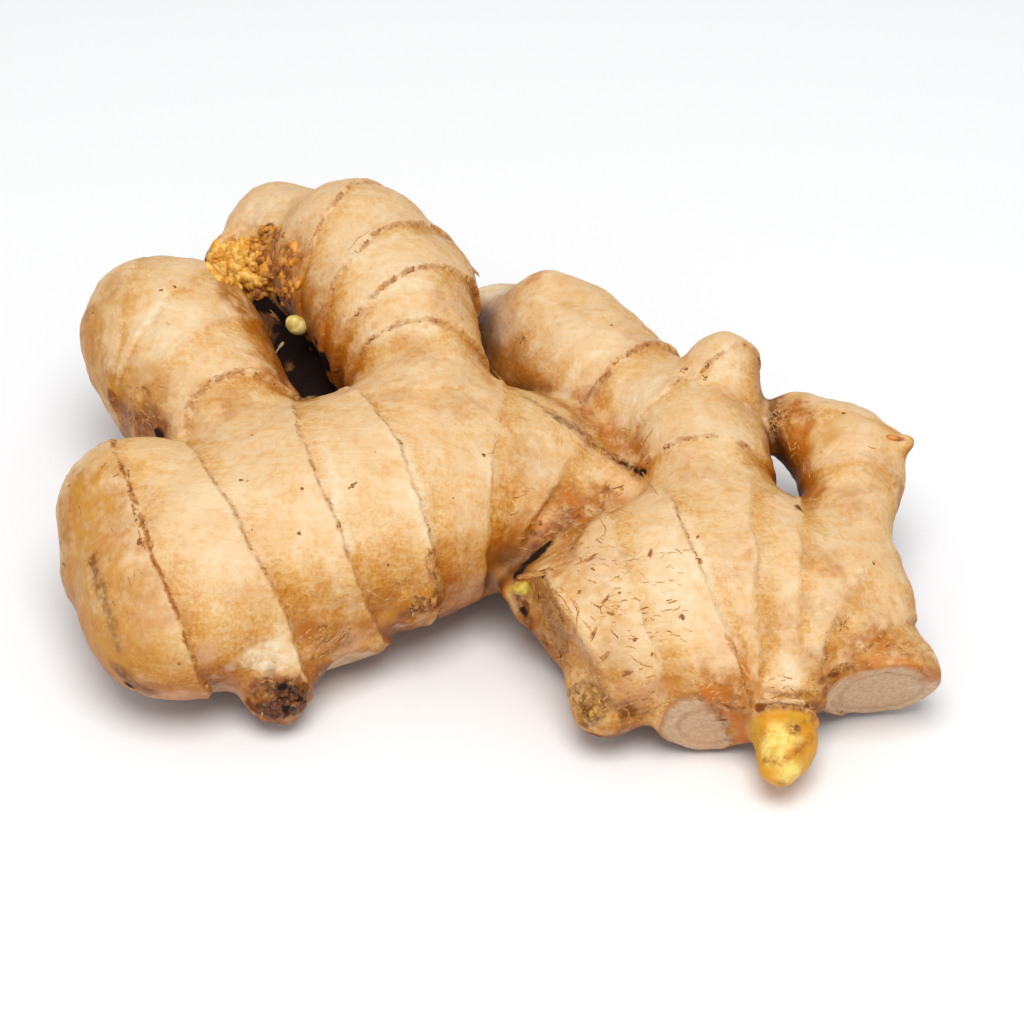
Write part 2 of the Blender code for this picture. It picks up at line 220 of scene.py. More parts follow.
# Growth rings: the lobes each goes round, a point on it, heading and rise of the way it
# steps down, strength, and how brown its line is
leftBody = ("front", "frontCap", "frontBump", "stubLeft", "brownBud")
leftFinger = ("fingerLeft",)
tallFinger = ("fingerTall", "tallKnob", "fingerBehind")
backArm = ("arm", "armTip", "armStub", "armKnob", "armKnobLow")
rightBody = ("right", "stubMiddle", "roundScar")
rightFinger = ("fingerRight", "pointBud")
rightStub = ("stubRight", "right")
budCollar = ("yellowBud",)
rings = [
    (leftBody, (-63.5, -46.5, 37.5), 17, 14, 0.8, 1.0),
    (leftBody, (-47.5, -38.5, 35.5), 26, 11, 1.0, 0.7),
    (leftBody, (-30.5, -32.5, 36), 15, 17, 1.0, 0.7),
    (leftBody, (-16.5, -24.5, 36), 24, 1, 1.0, 0.55),
    (leftBody, (0.5, -18.5, 34), -3, -3, 0.9, 0.2),
    (leftBody, (13, -16, 28.5), -26, -9, 0.8, 0.3),
    (leftFinger, (-54, 0.5, 42), -66, 33, 1.1, 0.8),
    (leftFinger, (-60.5, 10.5, 45.5), -45, -5, 0.6, 0.1),
    (leftFinger, (-67, 19, 47.5), -35, -4, 0.5, 0.1),
    (leftFinger, (-75.5, 19.5, 45), -9, 5, 0.5, 0.2),
    (tallFinger, (-17.5, -3, 43), -87, -30, 0.6, 0.5),
    (tallFinger, (-15, 13, 45.5), -81, -2, 1.2, 0.65),
    (tallFinger, (-17.5, 23.5, 51.5), -56, -4, 1.2, 0.65),
    (tallFinger, (-23.5, 33, 54), -46, 7, 1.0, 0.75),
    (tallFinger, (-34.5, 40.5, 54), -34, 9, 1.0, 0.7),
    (backArm, (20.5, 11.5, 32), -48, 6, 1.2, 0.7),
    (backArm, (32.5, 2.5, 36), -57, 7, 0.8, 0.5),
    (backArm, (40, -11.5, 36), -93, -12, 1.0, 0.65),
    (rightBody, (26.5, -45.5, 30.5), 12, 10, 0.6, 0.3),
    (rightBody, (41, -48.5, 30.5), 15, 12, 1.0, 0.4),
    (rightBody, (50, -48.5, 32.5), -3, 6, 0.8, 0.2),
    (rightBody, (58.5, -53, 27.5), -4, 3, 0.9, 0.2),
    (rightStub, (69, -47, 29.5), -32, 7, 0.8, 0.4),
    (rightStub, (73, -54, 22), -47, -18, 0.9, 0.5),
    (rightFinger, (72, -14, 34), -95, -10, 0.6, 0.2),
    (rightFinger, (74, -1, 36), -110, -15, 0.5, 0.2),
    (budCollar, (56, -62.5, 18.5), -92, -20, 0.6, 0.4),
    (budCollar, (56, -66.6, 16.6), -90, -18, 1.2, 1.0),
]
ringShape = {
    "step": 0.42,       # half the drop of the skin at a ring
    "edge": 0.35,       # how far that drop takes along the skin
    "fade": 6.0,        # how far the swelling beside it reaches
    "waver": 1.0,       # how far a ring wanders
    "kept": 0.6,        # how much of a faint ring is still there
    "lip": 0.28,        # raised edge on its high side
    "groove": 0.14,     # thin scar below the edge
}


def ringFields(points, shares):
    # Height of the rings, and for the colours the gap to the nearest one, which side of
    # it a point is on, and how brown it is
    waver = ringShape["waver"] * grain(points, 9.0, 1) + 0.35 * grain(points, 3.0, 2)
    waver += 0.25 * grain(points, 1.7, 5)
    frayed = 1.0 + 0.7 * grain(points, 4.0, 6)
    height = np.zeros(len(points))
    gap = np.full(len(points), 30.0)
    side = np.zeros(len(points))
    brown = np.zeros(len(points))
    which = np.zeros(len(points))
    for number, (around, point, turn, rise, strength, browning) in enumerate(rings):
        share = sum(shares[lobeNames.index(name)] for name in around)
        share = np.clip(share * 1.6 - 0.3, 0, 1)
        kept = smooth(ringShape["kept"] + 1.3 * grain(points, 12.0, 50 + number))
        kept = np.maximum(kept, min(1.0, browning + 0.05))
        past = (points - np.array(point)) @ heading(turn, rise) + waver
        drop = -np.tanh(past / ringShape["edge"]) * np.exp(-np.abs(past) / ringShape["fade"])
        lip = np.exp(-((past + 0.6) / 0.6) ** 2) * frayed
        groove = np.exp(-((past - 0.35) / 0.3) ** 2)
        here = ringShape["step"] * drop + ringShape["lip"] * lip - ringShape["groove"] * groove
        height += strength * share * kept * here
        away = np.abs(past) + 14 * (1 - share)
        closer = away < gap
        gap[closer] = away[closer]
        side[closer] = (past * np.exp(-(past / 4) ** 2))[closer]
        brown[closer] = (browning * kept)[closer]
        which[closer] = number
    return height, gap, side, brown, which


# Places with a surface of their own: centre, radius, rise, roughness and its grain
patches = [
    ((-50, 54, 33), 15, 0.7, 1.3, 4.2),         # crusty bud in the gap
    ((-46, 22, 22), 18, 0.0, 0.8, 4.5),         # earthy floor of the gap
    ((8, -50, 15), 17, -0.4, 0.8, 6.0),         # shrivelled end of the right body
    ((20, -50, 27), 12, 0.0, 0.45, 3.5),        # flaky skin beside it
    ((-15.5, -39.5, 20), 6, 1.0, 0.7, 3.5),     # knobby scar under the left body
    ((20, -64, 12), 6, 0.3, 0.6, 3.0),          # round bud scar
    ((18, -17, 25), 8, 0.2, 0.6, 3.5),          # wrinkles where the bodies meet
    ((-41, -57, 9), 8, 0.3, 0.7, 3.2),          # brown bud
    ((55, -72, 9), 8, 0.3, 0.5, 4.0),           # yellow bud
    ((58.5, 3, 31), 7, -0.2, 0.6, 3.0),         # porous scar of the hooked finger
    ((-69, -45, 9), 5, -0.7, 0.4, 3.0),         # dark scar at the left foot
    ((38.5, 9.4, 39), 2.6, -0.9, 0.0, 3.0),     # pits of old roots on the arm
    ((42.8, 6.3, 39), 2.2, -0.7, 0.0, 3.0),
    ((-66, -3, 30), 7, -0.5, 0.5, 3.5),         # dark heel of the left finger
    ((-10, 40, 44), 5, 0.6, 0.5, 3.0),          # torn skin on the tall finger
]

# Finer relief on top: centre, radius, depth and size of its crumbs or wrinkles
crumbs = [
    ((-50, 54, 33), 14, 1.1, 1.9),              # crusty bud
    ((-43, 20, 20), 16, 0.5, 1.8),              # earth in the gap
    ((-41, -57, 9), 7.5, 0.8, 1.7),             # burnt tip of the brown bud
    ((58.5, 3, 31), 6.5, 0.7, 1.3),             # porous scar
    ((20, -64, 12), 6.5, 0.7, 1.5),             # round bud scar
    ((-15.5, -39.5, 20), 5, 0.4, 1.3),          # knobby scar
    ((-69, -45, 9), 4, 0.4, 1.2),               # dark scar at the left foot
    ((-66, -3, 30), 6, 0.4, 1.4),               # heel
]
wrinkles = [
    ((9, -49, 16), 17, 1.1, 3.4),               # shrivelled end
    ((22, -50, 27), 16, 0.5, 2.2),              # flaky skin
    ((18, -17, 25), 9, 0.4, 2.0),               # where the bodies meet
    ((28, -58, 14), 9, 0.6, 2.2),               # between the round scar and the stub
    ((73, -48, 22), 12, 0.4, 2.6),              # collar of the right stub
    ((56, -62, 17), 7, 0.4, 1.8),               # collar of the yellow bud
    ((46, -62, 14), 7, 0.5, 2.0),               # torn side of the middle stub
    ((-33, -48, 20), 8, 0.35, 1.6),             # strands beside the brown bud
]


def fadeIn(points, centre, radius):
    off = np.linalg.norm(points - np.array(centre), axis=1) / radius
    inside = np.where(off < 1)[0]
    return inside, smooth(2.0 * (1 - off[inside]))


def patchHeight(points):
    height = np.zeros(len(points))
    for number, (centre, radius, rise, rough, size) in enumerate(patches):
        inside, fade = fadeIn(points, centre, radius)
        bumps = rough * grain(points[inside], size, 10 + number)
        height[inside] += fade * (rise + bumps)
    for centre, radius, depth, size in crumbs:
        inside, fade = fadeIn(points, centre, radius)
        cells = np.array([noise.voronoi(place)[0][0]
                          for place in (points[inside] / size).tolist()])
        height[inside] += fade * depth * (0.45 - cells + 0.5 * grain(points[inside], size / 2, 41))
    for centre, radius, depth, size in wrinkles:
        inside, fade = fadeIn(points, centre, radius)
        creased = 0.35 - np.abs(grain(points[inside], size, 31))
        height[inside] += fade * depth * (creased + 0.4 * grain(points[inside], size / 2.5, 32))
    return height


def relief(points):
    lumps = 0.9 * grain(points, 17.0, 3)
    uneven = 0.34 * grain(points, 5.5, 4)
    uneven += 0.14 * grain(points, 2.4, 7) + 0.07 * grain(points, 1.1, 8)
    return lumps + uneven + patchHeight(points)


# Mesh helpers
def readPoints(mesh):
    points = np.zeros(len(mesh.vertices) * 3, np.float32)
    mesh.vertices.foreach_get("co", points)
    return points.reshape(-1, 3).astype(float)


def readNormals(mesh):
    normals = np.zeros(len(mesh.vertices) * 3, np.float32)
    mesh.vertex_normals.foreach_get("vector", normals)
    return normals.reshape(-1, 3).astype(float)


def writePoints(mesh, points):
    mesh.vertices.foreach_set("co", points.astype(np.float32).ravel())
    mesh.update()


def throughModifier(mesh, kind, **settings):
    # The mesh that one modifier makes of another
    holder = bpy.data.objects.new("holder", mesh)
    bpy.context.scene.collection.objects.link(holder)
    modifier = holder.modifiers.new(kind, kind)
    for name, value in settings.items():
        setattr(modifier, name, value)
    shaped = holder.evaluated_get(bpy.context.evaluated_depsgraph_get())
    made = bpy.data.meshes.new_from_object(shaped)
    bpy.data.objects.remove(holder, do_unlink=True)
    bpy.data.meshes.remove(mesh)
    return made


def settle(mesh, rounds):
    # Moves every point straight in or out, onto the blended root
    for _ in range(rounds):
        points = readPoints(mesh)
        gap = skinDistance(points)[0]
        writePoints(mesh, points - readNormals(mesh) * np.clip(gap, -1.5, 1.5)[:, None])


def evenSkin():
    skin = bmesh.new()
    skin.from_mesh(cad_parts["ginger_root"].data)
    bmesh.ops.remove_doubles(skin, verts=skin.verts[:], dist=1e-6)
    grown = Vector((*form["outlineMiddle"], 0)) / metre
    bmesh.ops.translate(skin, verts=skin.verts[:], vec=grown)
    bmesh.ops.scale(skin, verts=skin.verts[:], vec=(metre, metre, metre))
    mesh = bpy.data.meshes.new("even skin")
    skin.to_mesh(mesh)
    skin.free()
    mesh = throughModifier(mesh, "REMESH", mode="VOXEL", voxel_size=form["grid"])
    settle(mesh, 4)
    return mesh


# Colours in spots: place in the photograph, radius in mm and strength, by tone
spots = {
    # warm tone and painted shade on the lower and shaded sides, in the creases and beside the cavity
    "warmToneAndShade": [
        (95, 545, 16, 0.45), (112, 620, 14, 0.4), (88, 500, 10, 0.35), (150, 600, 12, 0.3),
        (335, 345, 9, 0.5), (318, 300, 8, 0.5), (300, 240, 6, 0.3), (600, 440, 7, 0.3),
        (150, 395, 9, 0.5), (210, 420, 8, 0.3), (240, 400, 7, 0.4), (520, 535, 8, 0.3),
        (500, 560, 7, 0.3), (460, 570, 9, 0.35), (400, 580, 9, 0.3), (330, 600, 9, 0.35),
        (575, 530, 7, 0.7), (740, 560, 8, 0.25), (780, 620, 7, 0.35), (850, 610, 9, 0.35),
        (880, 640, 7, 0.3), (725, 690, 5, 0.4), (610, 690, 8, 0.5), (560, 640, 9, 0.4),
        (900, 520, 6, 0.35), (850, 500, 7, 0.4), (530, 470, 8, 0.3), (455, 400, 7, 0.3),
        (700, 470, 7, 0.3), (395, 390, 6, 0.3), (180, 680, 10, 0.3), (450, 300, 7, 0.35),
        (410, 350, 7, 0.4), (110, 290, 6, 0.4), (640, 340, 7, 0.25), (820, 560, 7, 0.3),
        (880, 470, 6, 0.35), (760, 470, 6, 0.35), (735, 400, 6, 0.35), (260, 590, 8, 0.25)],
    "ochre": [
        (90, 520, 10, 0.7), (80, 560, 9, 0.7), (84, 605, 9, 0.6), (104, 645, 9, 0.6), (120, 590, 10, 0.5),
        (140, 650, 9, 0.4), (100, 460, 7, 0.5), (95, 360, 8, 0.6), (110, 310, 8, 0.4), (140, 390, 8, 0.6),
        (84, 482, 5, 0.6), (98, 498, 5, 0.5), (74, 508, 4, 0.5), (72, 560, 5, 0.4), (100, 640, 5, 0.7),
        (113, 286, 5, 0.4), (92, 330, 6, 0.5), (110, 390, 6, 0.6), (300, 300, 6, 0.6), (310, 340, 6, 0.6),
        (385, 619, 3.5, 0.8), (250, 235, 4, 0.4), (569, 303, 2.4, 0.5), (820, 440, 5, 0.5),
        (845, 430, 5, 0.4), (870, 660, 4, 0.5), (550, 470, 6, 0.3), (118, 670, 4, 0.6),
        (200, 390, 4, 0.5), (440, 610, 4, 0.5), (108, 556, 4, 0.6), (130, 470, 4, 0.5),
        (240, 400, 4, 0.3), (340, 385, 4, 0.5)],
    # orange-brown marks, and painted shade on the hooked finger's left side
    "orange": [
        (110, 539, 4, 0.4), (797, 490, 5, 0.6), (806, 460, 4, 0.4), (576, 510, 2.2, 0.7),
        (716, 702, 2.6, 0.9), (724, 712, 2.2, 0.8), (705, 696, 2, 0.7), (535, 280, 2, 0.6),
        (600, 430, 4, 0.5), (640, 468, 3, 0.6), (146, 545, 2, 0.5), (540, 535, 4, 0.5),
        (745, 620, 1.6, 0.4), (750, 660, 2, 0.5), (625, 500, 2, 0.4), (885, 640, 2.4, 0.5),
        (860, 680, 2.2, 0.5), (330, 340, 4, 0.5), (350, 390, 3, 0.5), (585, 410, 2.4, 0.5),
        (490, 380, 3, 0.5), (740, 672, 2, 0.5), (936, 690, 2.4, 0.6), (583, 520, 2, 0.6)],
    "burnt": [
        (280, 702, 7, 1.0), (280, 700, 6, 0.9), (260, 694, 4.4, 1.0), (304, 690, 4, 1.0),
        (258, 700, 4, 0.9), (300, 700, 4, 0.9), (280, 682, 3.4, 0.9)],
    "crust": [
        (240, 262, 8, 1.0), (219, 262, 6, 1.0), (262, 246, 4, 1.0), (268, 275, 7, 1.0),
        (285, 262, 5, 1.0), (284, 285, 5, 1.0), (250, 284, 5, 1.0), (273, 238, 2.5, 0.8)],
    "brown": [
        (93, 563, 1.6, 0.6), (97, 572, 1.6, 0.6), (103, 588, 1.6, 0.5), (107, 600, 1.6, 0.4),
        (113, 395, 2.4, 0.6), (289, 293, 2.5, 0.8), (269, 229, 1.6, 0.8), (209, 261, 1.6, 0.9),
        (325, 640, 2, 0.5), (436, 600, 2, 0.7), (430, 556, 1.3, 0.7), (615, 455, 2.4, 0.4),
        (722, 718, 1.6, 0.6), (760, 708, 1.6, 0.8), (843, 625, 1.2, 0.6), (832, 676, 1.6, 0.9),
        (63, 564, 1.3, 0.7), (70, 487, 1.3, 0.6), (628, 714, 2.6, 0.6), (592, 735, 2.6, 0.7),
        (640, 718, 1.8, 0.5), (415, 606, 1.6, 0.5), (300, 688, 2.4, 0.7), (268, 679, 1.6, 0.6),
        (252, 703, 1.8, 0.8), (308, 702, 2, 0.7), (247, 288, 1.6, 0.8), (262, 296, 2.0, 0.9),
        (228, 276, 1.4, 0.6), (276, 254, 1.2, 0.7), (257, 262, 1.1, 0.6), (574, 700, 1.6, 0.5),
        (566, 715, 1.8, 0.5), (524, 606, 1.8, 0.8)],
    # painted shade in the cavity between the fingers, under the crust and in the creases, besides dark
    # holes and burnt spots
    "dark": [
        (315, 372, 12, 1.0), (290, 345, 8, 1.0), (268, 305, 2.6, 1.0), (130, 685, 1.6, 0.9),
        (143, 695, 1.4, 0.9), (282, 686, 1.4, 0.8), (286, 708, 1.6, 0.8), (534, 533, 1.2, 0.6),
        (543, 575, 1.2, 0.7), (522, 612, 1.8, 0.8), (533, 634, 1.2, 0.6), (643, 472, 1.6, 0.8),
        (777, 462, 2.4, 0.8), (799, 507, 1.8, 0.8), (322, 679, 1.1, 0.8), (334, 677, 1.0, 0.8),
        (157, 437, 2.2, 0.9), (281, 298, 2.0, 0.9), (297, 698, 1.2, 0.7)],
    "pink": [
        (206, 652, 4, 0.5), (173, 700, 8, 0.6), (225, 690, 6, 0.5), (350, 645, 5, 0.7),
        (600, 560, 7, 0.4), (640, 690, 7, 0.3), (720, 640, 6, 0.3), (245, 540, 8, 0.3),
        (475, 590, 6, 0.5), (160, 620, 7, 0.3), (620, 290, 5, 0.3), (700, 738, 5, 0.4)],
    # painted highlights on the lobes, painted light over the tall finger's shadow on the arm, and paler
    # skin such as the brown bud's cap
    "pale": [
        (732, 362, 6, 0.7), (258, 208, 6, 0.6), (545, 470, 5, 0.6), (492, 300, 5, 0.7),
        (500, 325, 6, 0.7), (270, 655, 5.6, 0.8), (282, 662, 4, 0.5), (258, 660, 4, 0.4),
        (170, 320, 8, 0.5), (150, 345, 6, 0.4), (330, 500, 9, 0.45), (670, 570, 9, 0.5),
        (680, 605, 8, 0.5), (655, 545, 7, 0.45), (640, 640, 7, 0.4), (640, 395, 8, 0.5),
        (395, 270, 8, 0.5), (360, 240, 6, 0.35), (210, 500, 9, 0.4), (230, 560, 8, 0.3),
        (485, 465, 5, 0.5), (415, 500, 7, 0.5), (652, 425, 5, 0.5), (790, 676, 4, 0.6),
        (420, 325, 5, 0.4), (340, 465, 7, 0.4), (245, 480, 8, 0.35), (590, 340, 9, 0.35),
        (560, 330, 6, 0.3), (700, 560, 6, 0.35), (770, 560, 5, 0.35), (820, 600, 5, 0.3),
        (720, 430, 7, 0.3), (860, 430, 5, 0.3), (600, 590, 6, 0.4), (590, 620, 6, 0.3),
        (380, 440, 6, 0.35)],
    "grey": [
        (556, 625, 7, 0.7), (545, 600, 5, 0.7), (565, 660, 6, 0.6), (612, 650, 6, 0.3)],
    "olive": [
        (588, 703, 3.4, 0.9), (584, 712, 2.6, 0.7), (414, 606, 2.2, 0.6), (904, 697, 3, 0.3)],
    # the bud's pale lemon skin, with a painted highlight on its upper left
    "lemonPaleAndHighlight": [
        (777, 739, 5, 1.0), (772, 752, 3.5, 0.8), (788, 774, 4, 0.8), (800, 738, 2.4, 0.5)],
    "rust": [
        (798, 750, 1.8, 0.8), (796, 728, 2.2, 1.0), (806, 722, 1.4, 0.8), (760, 714, 1.6, 0.9),
        (814, 718, 1.6, 0.9), (782, 783, 1.6, 0.7), (762, 735, 1.4, 0.6), (812, 760, 2, 0.5)],
    # dark brown of the burnt bud, heel and porous scar, and painted shade in the cavity and the crease
    "umber": [
        (300, 300, 3, 0.6), (545, 640, 4, 0.4), (158, 428, 3, 0.6), (150, 410, 3, 0.6),
        (340, 372, 3, 0.7), (283, 692, 4, 0.6), (264, 700, 3.4, 0.7), (302, 694, 3, 0.7),
        (280, 712, 3.4, 0.7), (782, 410, 3, 0.7), (534, 541, 3, 0.7)],
    # burnt spots of the brown bud, and painted shade in the cavity and under the crust
    "char": [
        (292, 300, 2.4, 0.8), (318, 372, 3, 0.5), (270, 684, 3.2, 0.9), (288, 690, 3.8, 1.0),
        (284, 708, 3.6, 1.0), (301, 692, 2.6, 0.8), (262, 706, 2.6, 0.9), (256, 692, 2.0, 0.7),
        (296, 706, 2.6, 0.8)],
    "net": [
        (780, 410, 3.6, 1.0), (776, 425, 3, 0.8)],
}


# Colours along lines: radius, strength and places in the photograph, by tone
trails = {
    # painted shade along the creases, the cavity's sides and the recess by the stub, besides dark brown
    # streaks and scar rims
    "umber": [
        (1.8, 0.85, [(556, 418), (584, 436), (612, 455), (640, 472)]),
        (1.2, 0.6, [(488, 366), (510, 386), (540, 406), (560, 420)]),
        (3.0, 0.8, [(512, 578), (526, 562), (545, 543), (562, 527), (574, 514)]),
        (2.0, 0.9, [(773, 400), (774, 420), (777, 444), (782, 462)]),
        (1.6, 0.6, [(93, 560), (100, 590), (112, 620), (119, 652)]),
        (2.6, 1.0, [(122, 672), (134, 684), (150, 692)]),
        (3.4, 1.0, [(252, 296), (266, 316), (278, 345), (288, 380), (300, 398)]),
        (2.2, 0.8, [(116, 404), (140, 420), (160, 432)]),
        (3.4, 0.7, [(294, 290), (304, 322), (320, 350), (340, 380)]),
        (2.0, 0.7, [(250, 306), (264, 328), (276, 356), (284, 384)]),
        (1.5, 0.8, [(571, 692), (584, 684), (600, 690), (606, 704), (600, 718), (586, 724)]),
        (1.6, 0.7, [(606, 700), (622, 708), (634, 714), (648, 712)]),
        (1.4, 0.6, [(622, 704), (626, 718), (620, 732)]),
        (0.9, 0.8, [(698, 694), (712, 703), (722, 718), (730, 738)]),
        (1.3, 0.8, [(822, 682), (834, 674), (848, 668), (866, 666)]),
        (0.9, 0.7, [(768, 690), (780, 694), (796, 696), (808, 692)]),
        (1.3, 1.0, [(762, 708), (778, 705), (798, 707), (816, 706)]),
        (1.8, 0.8, [(402, 612), (416, 602), (432, 598), (440, 588)]),
        (1.6, 0.5, [(316, 660), (334, 652), (352, 640)]),
        (1.6, 0.9, [(516, 598), (524, 618), (536, 642), (548, 664), (560, 686)]),
        (1.0, 0.6, [(540, 574), (552, 590), (562, 612), (570, 640)]),
        (0.9, 0.7, [(609, 490), (600, 512), (584, 530), (570, 548)]),
        (1.0, 0.6, [(609, 374), (590, 392), (582, 412), (580, 430)])],
    # painted shade along the creases and in the cavity
    "dark": [
        (1.0, 0.75, [(622, 460), (632, 467), (643, 474)]),
        (1.5, 0.9, [(516, 574), (524, 564), (536, 553), (549, 543)]),
        (2.4, 1.0, [(262, 300), (276, 309), (288, 320), (296, 340)]),
        (2.4, 0.9, [(318, 345), (328, 366)])],
    # painted light over the arm's shadow, painted highlight streaks and bright lips beside rings, and the
    # brown bud's pale cap
    "pale": [
        (5.0, 1.0, [(488, 288), (494, 308), (502, 330)]), (4.0, 0.9, [(486, 300), (492, 324)]),
        (3.6, 1.0, [(256, 657), (270, 649), (286, 655)]),
        (1.4, 0.7, [(352, 262), (372, 244), (396, 236)]),
        (1.6, 0.7, [(376, 296), (400, 282), (430, 284)]),
        (1.6, 0.6, [(370, 340), (400, 326), (436, 330)]),
        (1.6, 0.7, [(566, 396), (572, 374), (590, 356), (604, 352)]),
        (2.0, 0.7, [(622, 420), (636, 398), (660, 380)]),
        (1.0, 1.0, [(168, 297), (152, 314), (138, 334)]),
        (1.6, 0.7, [(322, 440), (334, 480), (338, 520), (350, 550)]),
        (2.0, 0.7, [(398, 440), (412, 476), (420, 510), (430, 536)]),
        (1.6, 0.6, [(686, 520), (704, 560), (718, 610), (736, 650)]),
        (2.0, 0.7, [(784, 656), (790, 668), (794, 680)])],
    # warm tone and painted shade along the creases, the cavity's sides and the hooked finger's left side
    "warmToneAndShade": [
        (5.0, 0.8, [(498, 364), (524, 384), (552, 400), (588, 418), (612, 438), (640, 458)]),
        (5.5, 0.8, [(494, 586), (506, 560), (524, 538), (546, 520), (566, 500)]),
        (5.5, 1.0, [(794, 410), (796, 440), (800, 470), (808, 500)]),
        (5.0, 0.8, [(80, 480), (66, 520), (64, 570), (80, 620), (110, 670)]),
        (6.0, 0.8, [(90, 320), (98, 360), (120, 405), (156, 425)]),
        (5.6, 1.0, [(292, 262), (300, 290), (312, 322), (330, 350), (346, 380)]),
        (5.0, 0.9, [(228, 290), (250, 320), (266, 350), (280, 384)]),
        (3.4, 1.0, [(712, 686), (728, 696), (742, 708), (752, 724), (754, 744)]),
        (4.0, 0.7, [(640, 700), (670, 686), (700, 680), (728, 684), (750, 700)]),
        (4.6, 0.8, [(820, 668), (850, 652), (885, 640), (915, 652), (936, 676)]),
        (4.6, 0.9, [(440, 596), (470, 600), (496, 592)]),
        (4.6, 0.9, [(310, 632), (330, 642), (352, 634), (384, 618)]),
        (4.0, 0.6, [(524, 600), (534, 630), (548, 660), (562, 690)]),
        (4.4, 0.8, [(600, 496), (584, 520), (568, 545), (560, 566)]),
        (3.6, 0.7, [(584, 400), (578, 420), (584, 436)])],
    "orange": [
        (1.8, 0.9, [(566, 498), (577, 508), (582, 520)]),
        # painted shade down the hooked finger's left side
        (3.6, 0.8, [(798, 440), (800, 470), (804, 496)]),
        (2.2, 0.9, [(706, 692), (722, 702), (736, 718), (744, 738)]),
        (1.6, 0.7, [(866, 664), (890, 660), (915, 664), (934, 676)]),
        (1.2, 0.6, [(728, 640), (744, 668), (756, 690)]),
        (1.4, 0.7, [(528, 284), (533, 276), (541, 273)])],
    # dark of the porous scar and painted shade in the recess below it
    "char": [
        (1.6, 0.8, [(774, 410), (777, 440), (783, 462)])],
    "ochre": [
        (5.0, 0.6, [(572, 580), (596, 600), (612, 624)])],
    "rust": [
        (1.0, 0.9, [(764, 760), (780, 762), (796, 752), (813, 737)])],
}


def seenFlat(pixel, below):
    shift = np.array([*form["outlineMiddle"], 0])
    return below.ray_cast(Vector(eye + shift), Vector(sightLine(pixel)))[0]


def trailMask(points, wobble, radius, strength, route, below):
    # The nearest of the spots along a line counts
    off = np.full(len(points), 9.0)
    for start, end in zip(route, route[1:]):
        count = max(1, round(math.dist(start, end) / 5))
        for step in range(count + 1):
            hit = seenFlat([a + (b - a) * step / count for a, b in zip(start, end)], below)
            if hit is not None:
                off = np.minimum(off, np.linalg.norm(points - np.array(hit), axis=1) / radius)
    return strength * smooth(1.5 - 1.5 * off * wobble)


def spotMasks(points, below):
    # One mask per tone, from spots found on the skin along the line of sight
    wobble = 1 + 0.5 * grain(points, 3.5, 21) + 0.3 * grain(points, 1.5, 22)
    masks = {}
    for tone, places in spots.items():
        clear = np.ones(len(points))
        for x, y, radius, strength in places:
            hit = seenFlat((x, y), below)
            if hit is None:
                continue
            off = np.linalg.norm(points - np.array(hit), axis=1) * wobble / radius
            clear *= 1 - strength * smooth(1.5 - 1.5 * off)
        for radius, strength, route in trails.get(tone, []):
            clear *= 1 - trailMask(points, wobble, radius, strength, route, below)
        masks[tone] = 1 - clear
    return masks


def cutFields(points):
    # How far each point is inside a cut face, and its place from the middle to the rim
    mask = np.zeros(len(points))
    ring = np.ones(len(points))
    for name, lobe in lobes.items():
        if "cut" not in lobe or name == "right":    # the right body's end is shrivelled skin
            continue
        point, direction = lobe["cut"]
        past = (points - np.array(point)) @ unit(direction)
        line = centreLines[name]
        uncut = np.full(len(points), 1e9)
        for start, end in zip(line[:-1], line[1:]):
            along = end[:3] - start[:3]
            t = np.clip((points - start[:3]) @ along / (along @ along), 0, 1)
            off = np.linalg.norm(points - start[:3] - t[:, None] * along, axis=1)
            uncut = np.minimum(uncut, off - start[3] - t * (end[3] - start[3]))
        on = smooth((past + 1.6) / 0.9) * smooth((-uncut + 0.2) / 0.8) * (past < 3)
        if "tornAt" in lobe:
            edge = lobe["tornAt"] + 1.6 * grain(points, 4.0, 61)
            on = on * smooth((edge - points[:, 0]) / 1.4)
        mask = np.maximum(mask, on)
        inward = -uncut
        ring = np.where(on > 0.02, np.clip(inward, 0, 20), ring)
    return mask, ring


def skinFields(points, normals, shares, below):
    # Everything that the skin's material reads from the mesh
    fields = spotMasks(points, below)
    # How closed in each point is, for the painted shade in creases and hollows
    for name, reach in (("crease", 3.5), ("hollow", 11.0)):
        clearance = skinDistance(points + normals * reach)[0]
        fields[name] = np.clip(1 - clearance / reach, 0, 1)
    # Painted light and shade: skin turned to the painted light is paler, and hollows are darker
    lit = 0.5 + 0.5 * normals @ unit(skinLook["paintedLightFrom"])
    fields["shade"] = 1 - lit * (1 - 0.25 * fields["hollow"])
    fields["cutFace"], fields["cutDepth"] = cutFields(points)
    bulb = smooth(0.5 + (points - np.array(skinLook["bulbFrom"])) @ heading(-90, -18) / 1.2)
    fields["yellow"] = smooth(1.6 * shares[lobeNames.index("yellowBud")] - 0.4) * bulb
    across = ("fingerLeft", "fingerTall", "tallKnob", "fingerBehind", "arm", "armTip", "armStub",
              "armKnob", "armKnobLow", "fingerRight", "stubRight")
    fields["turned"] = sum(shares[lobeNames.index(name)] for name in across)
    return fields


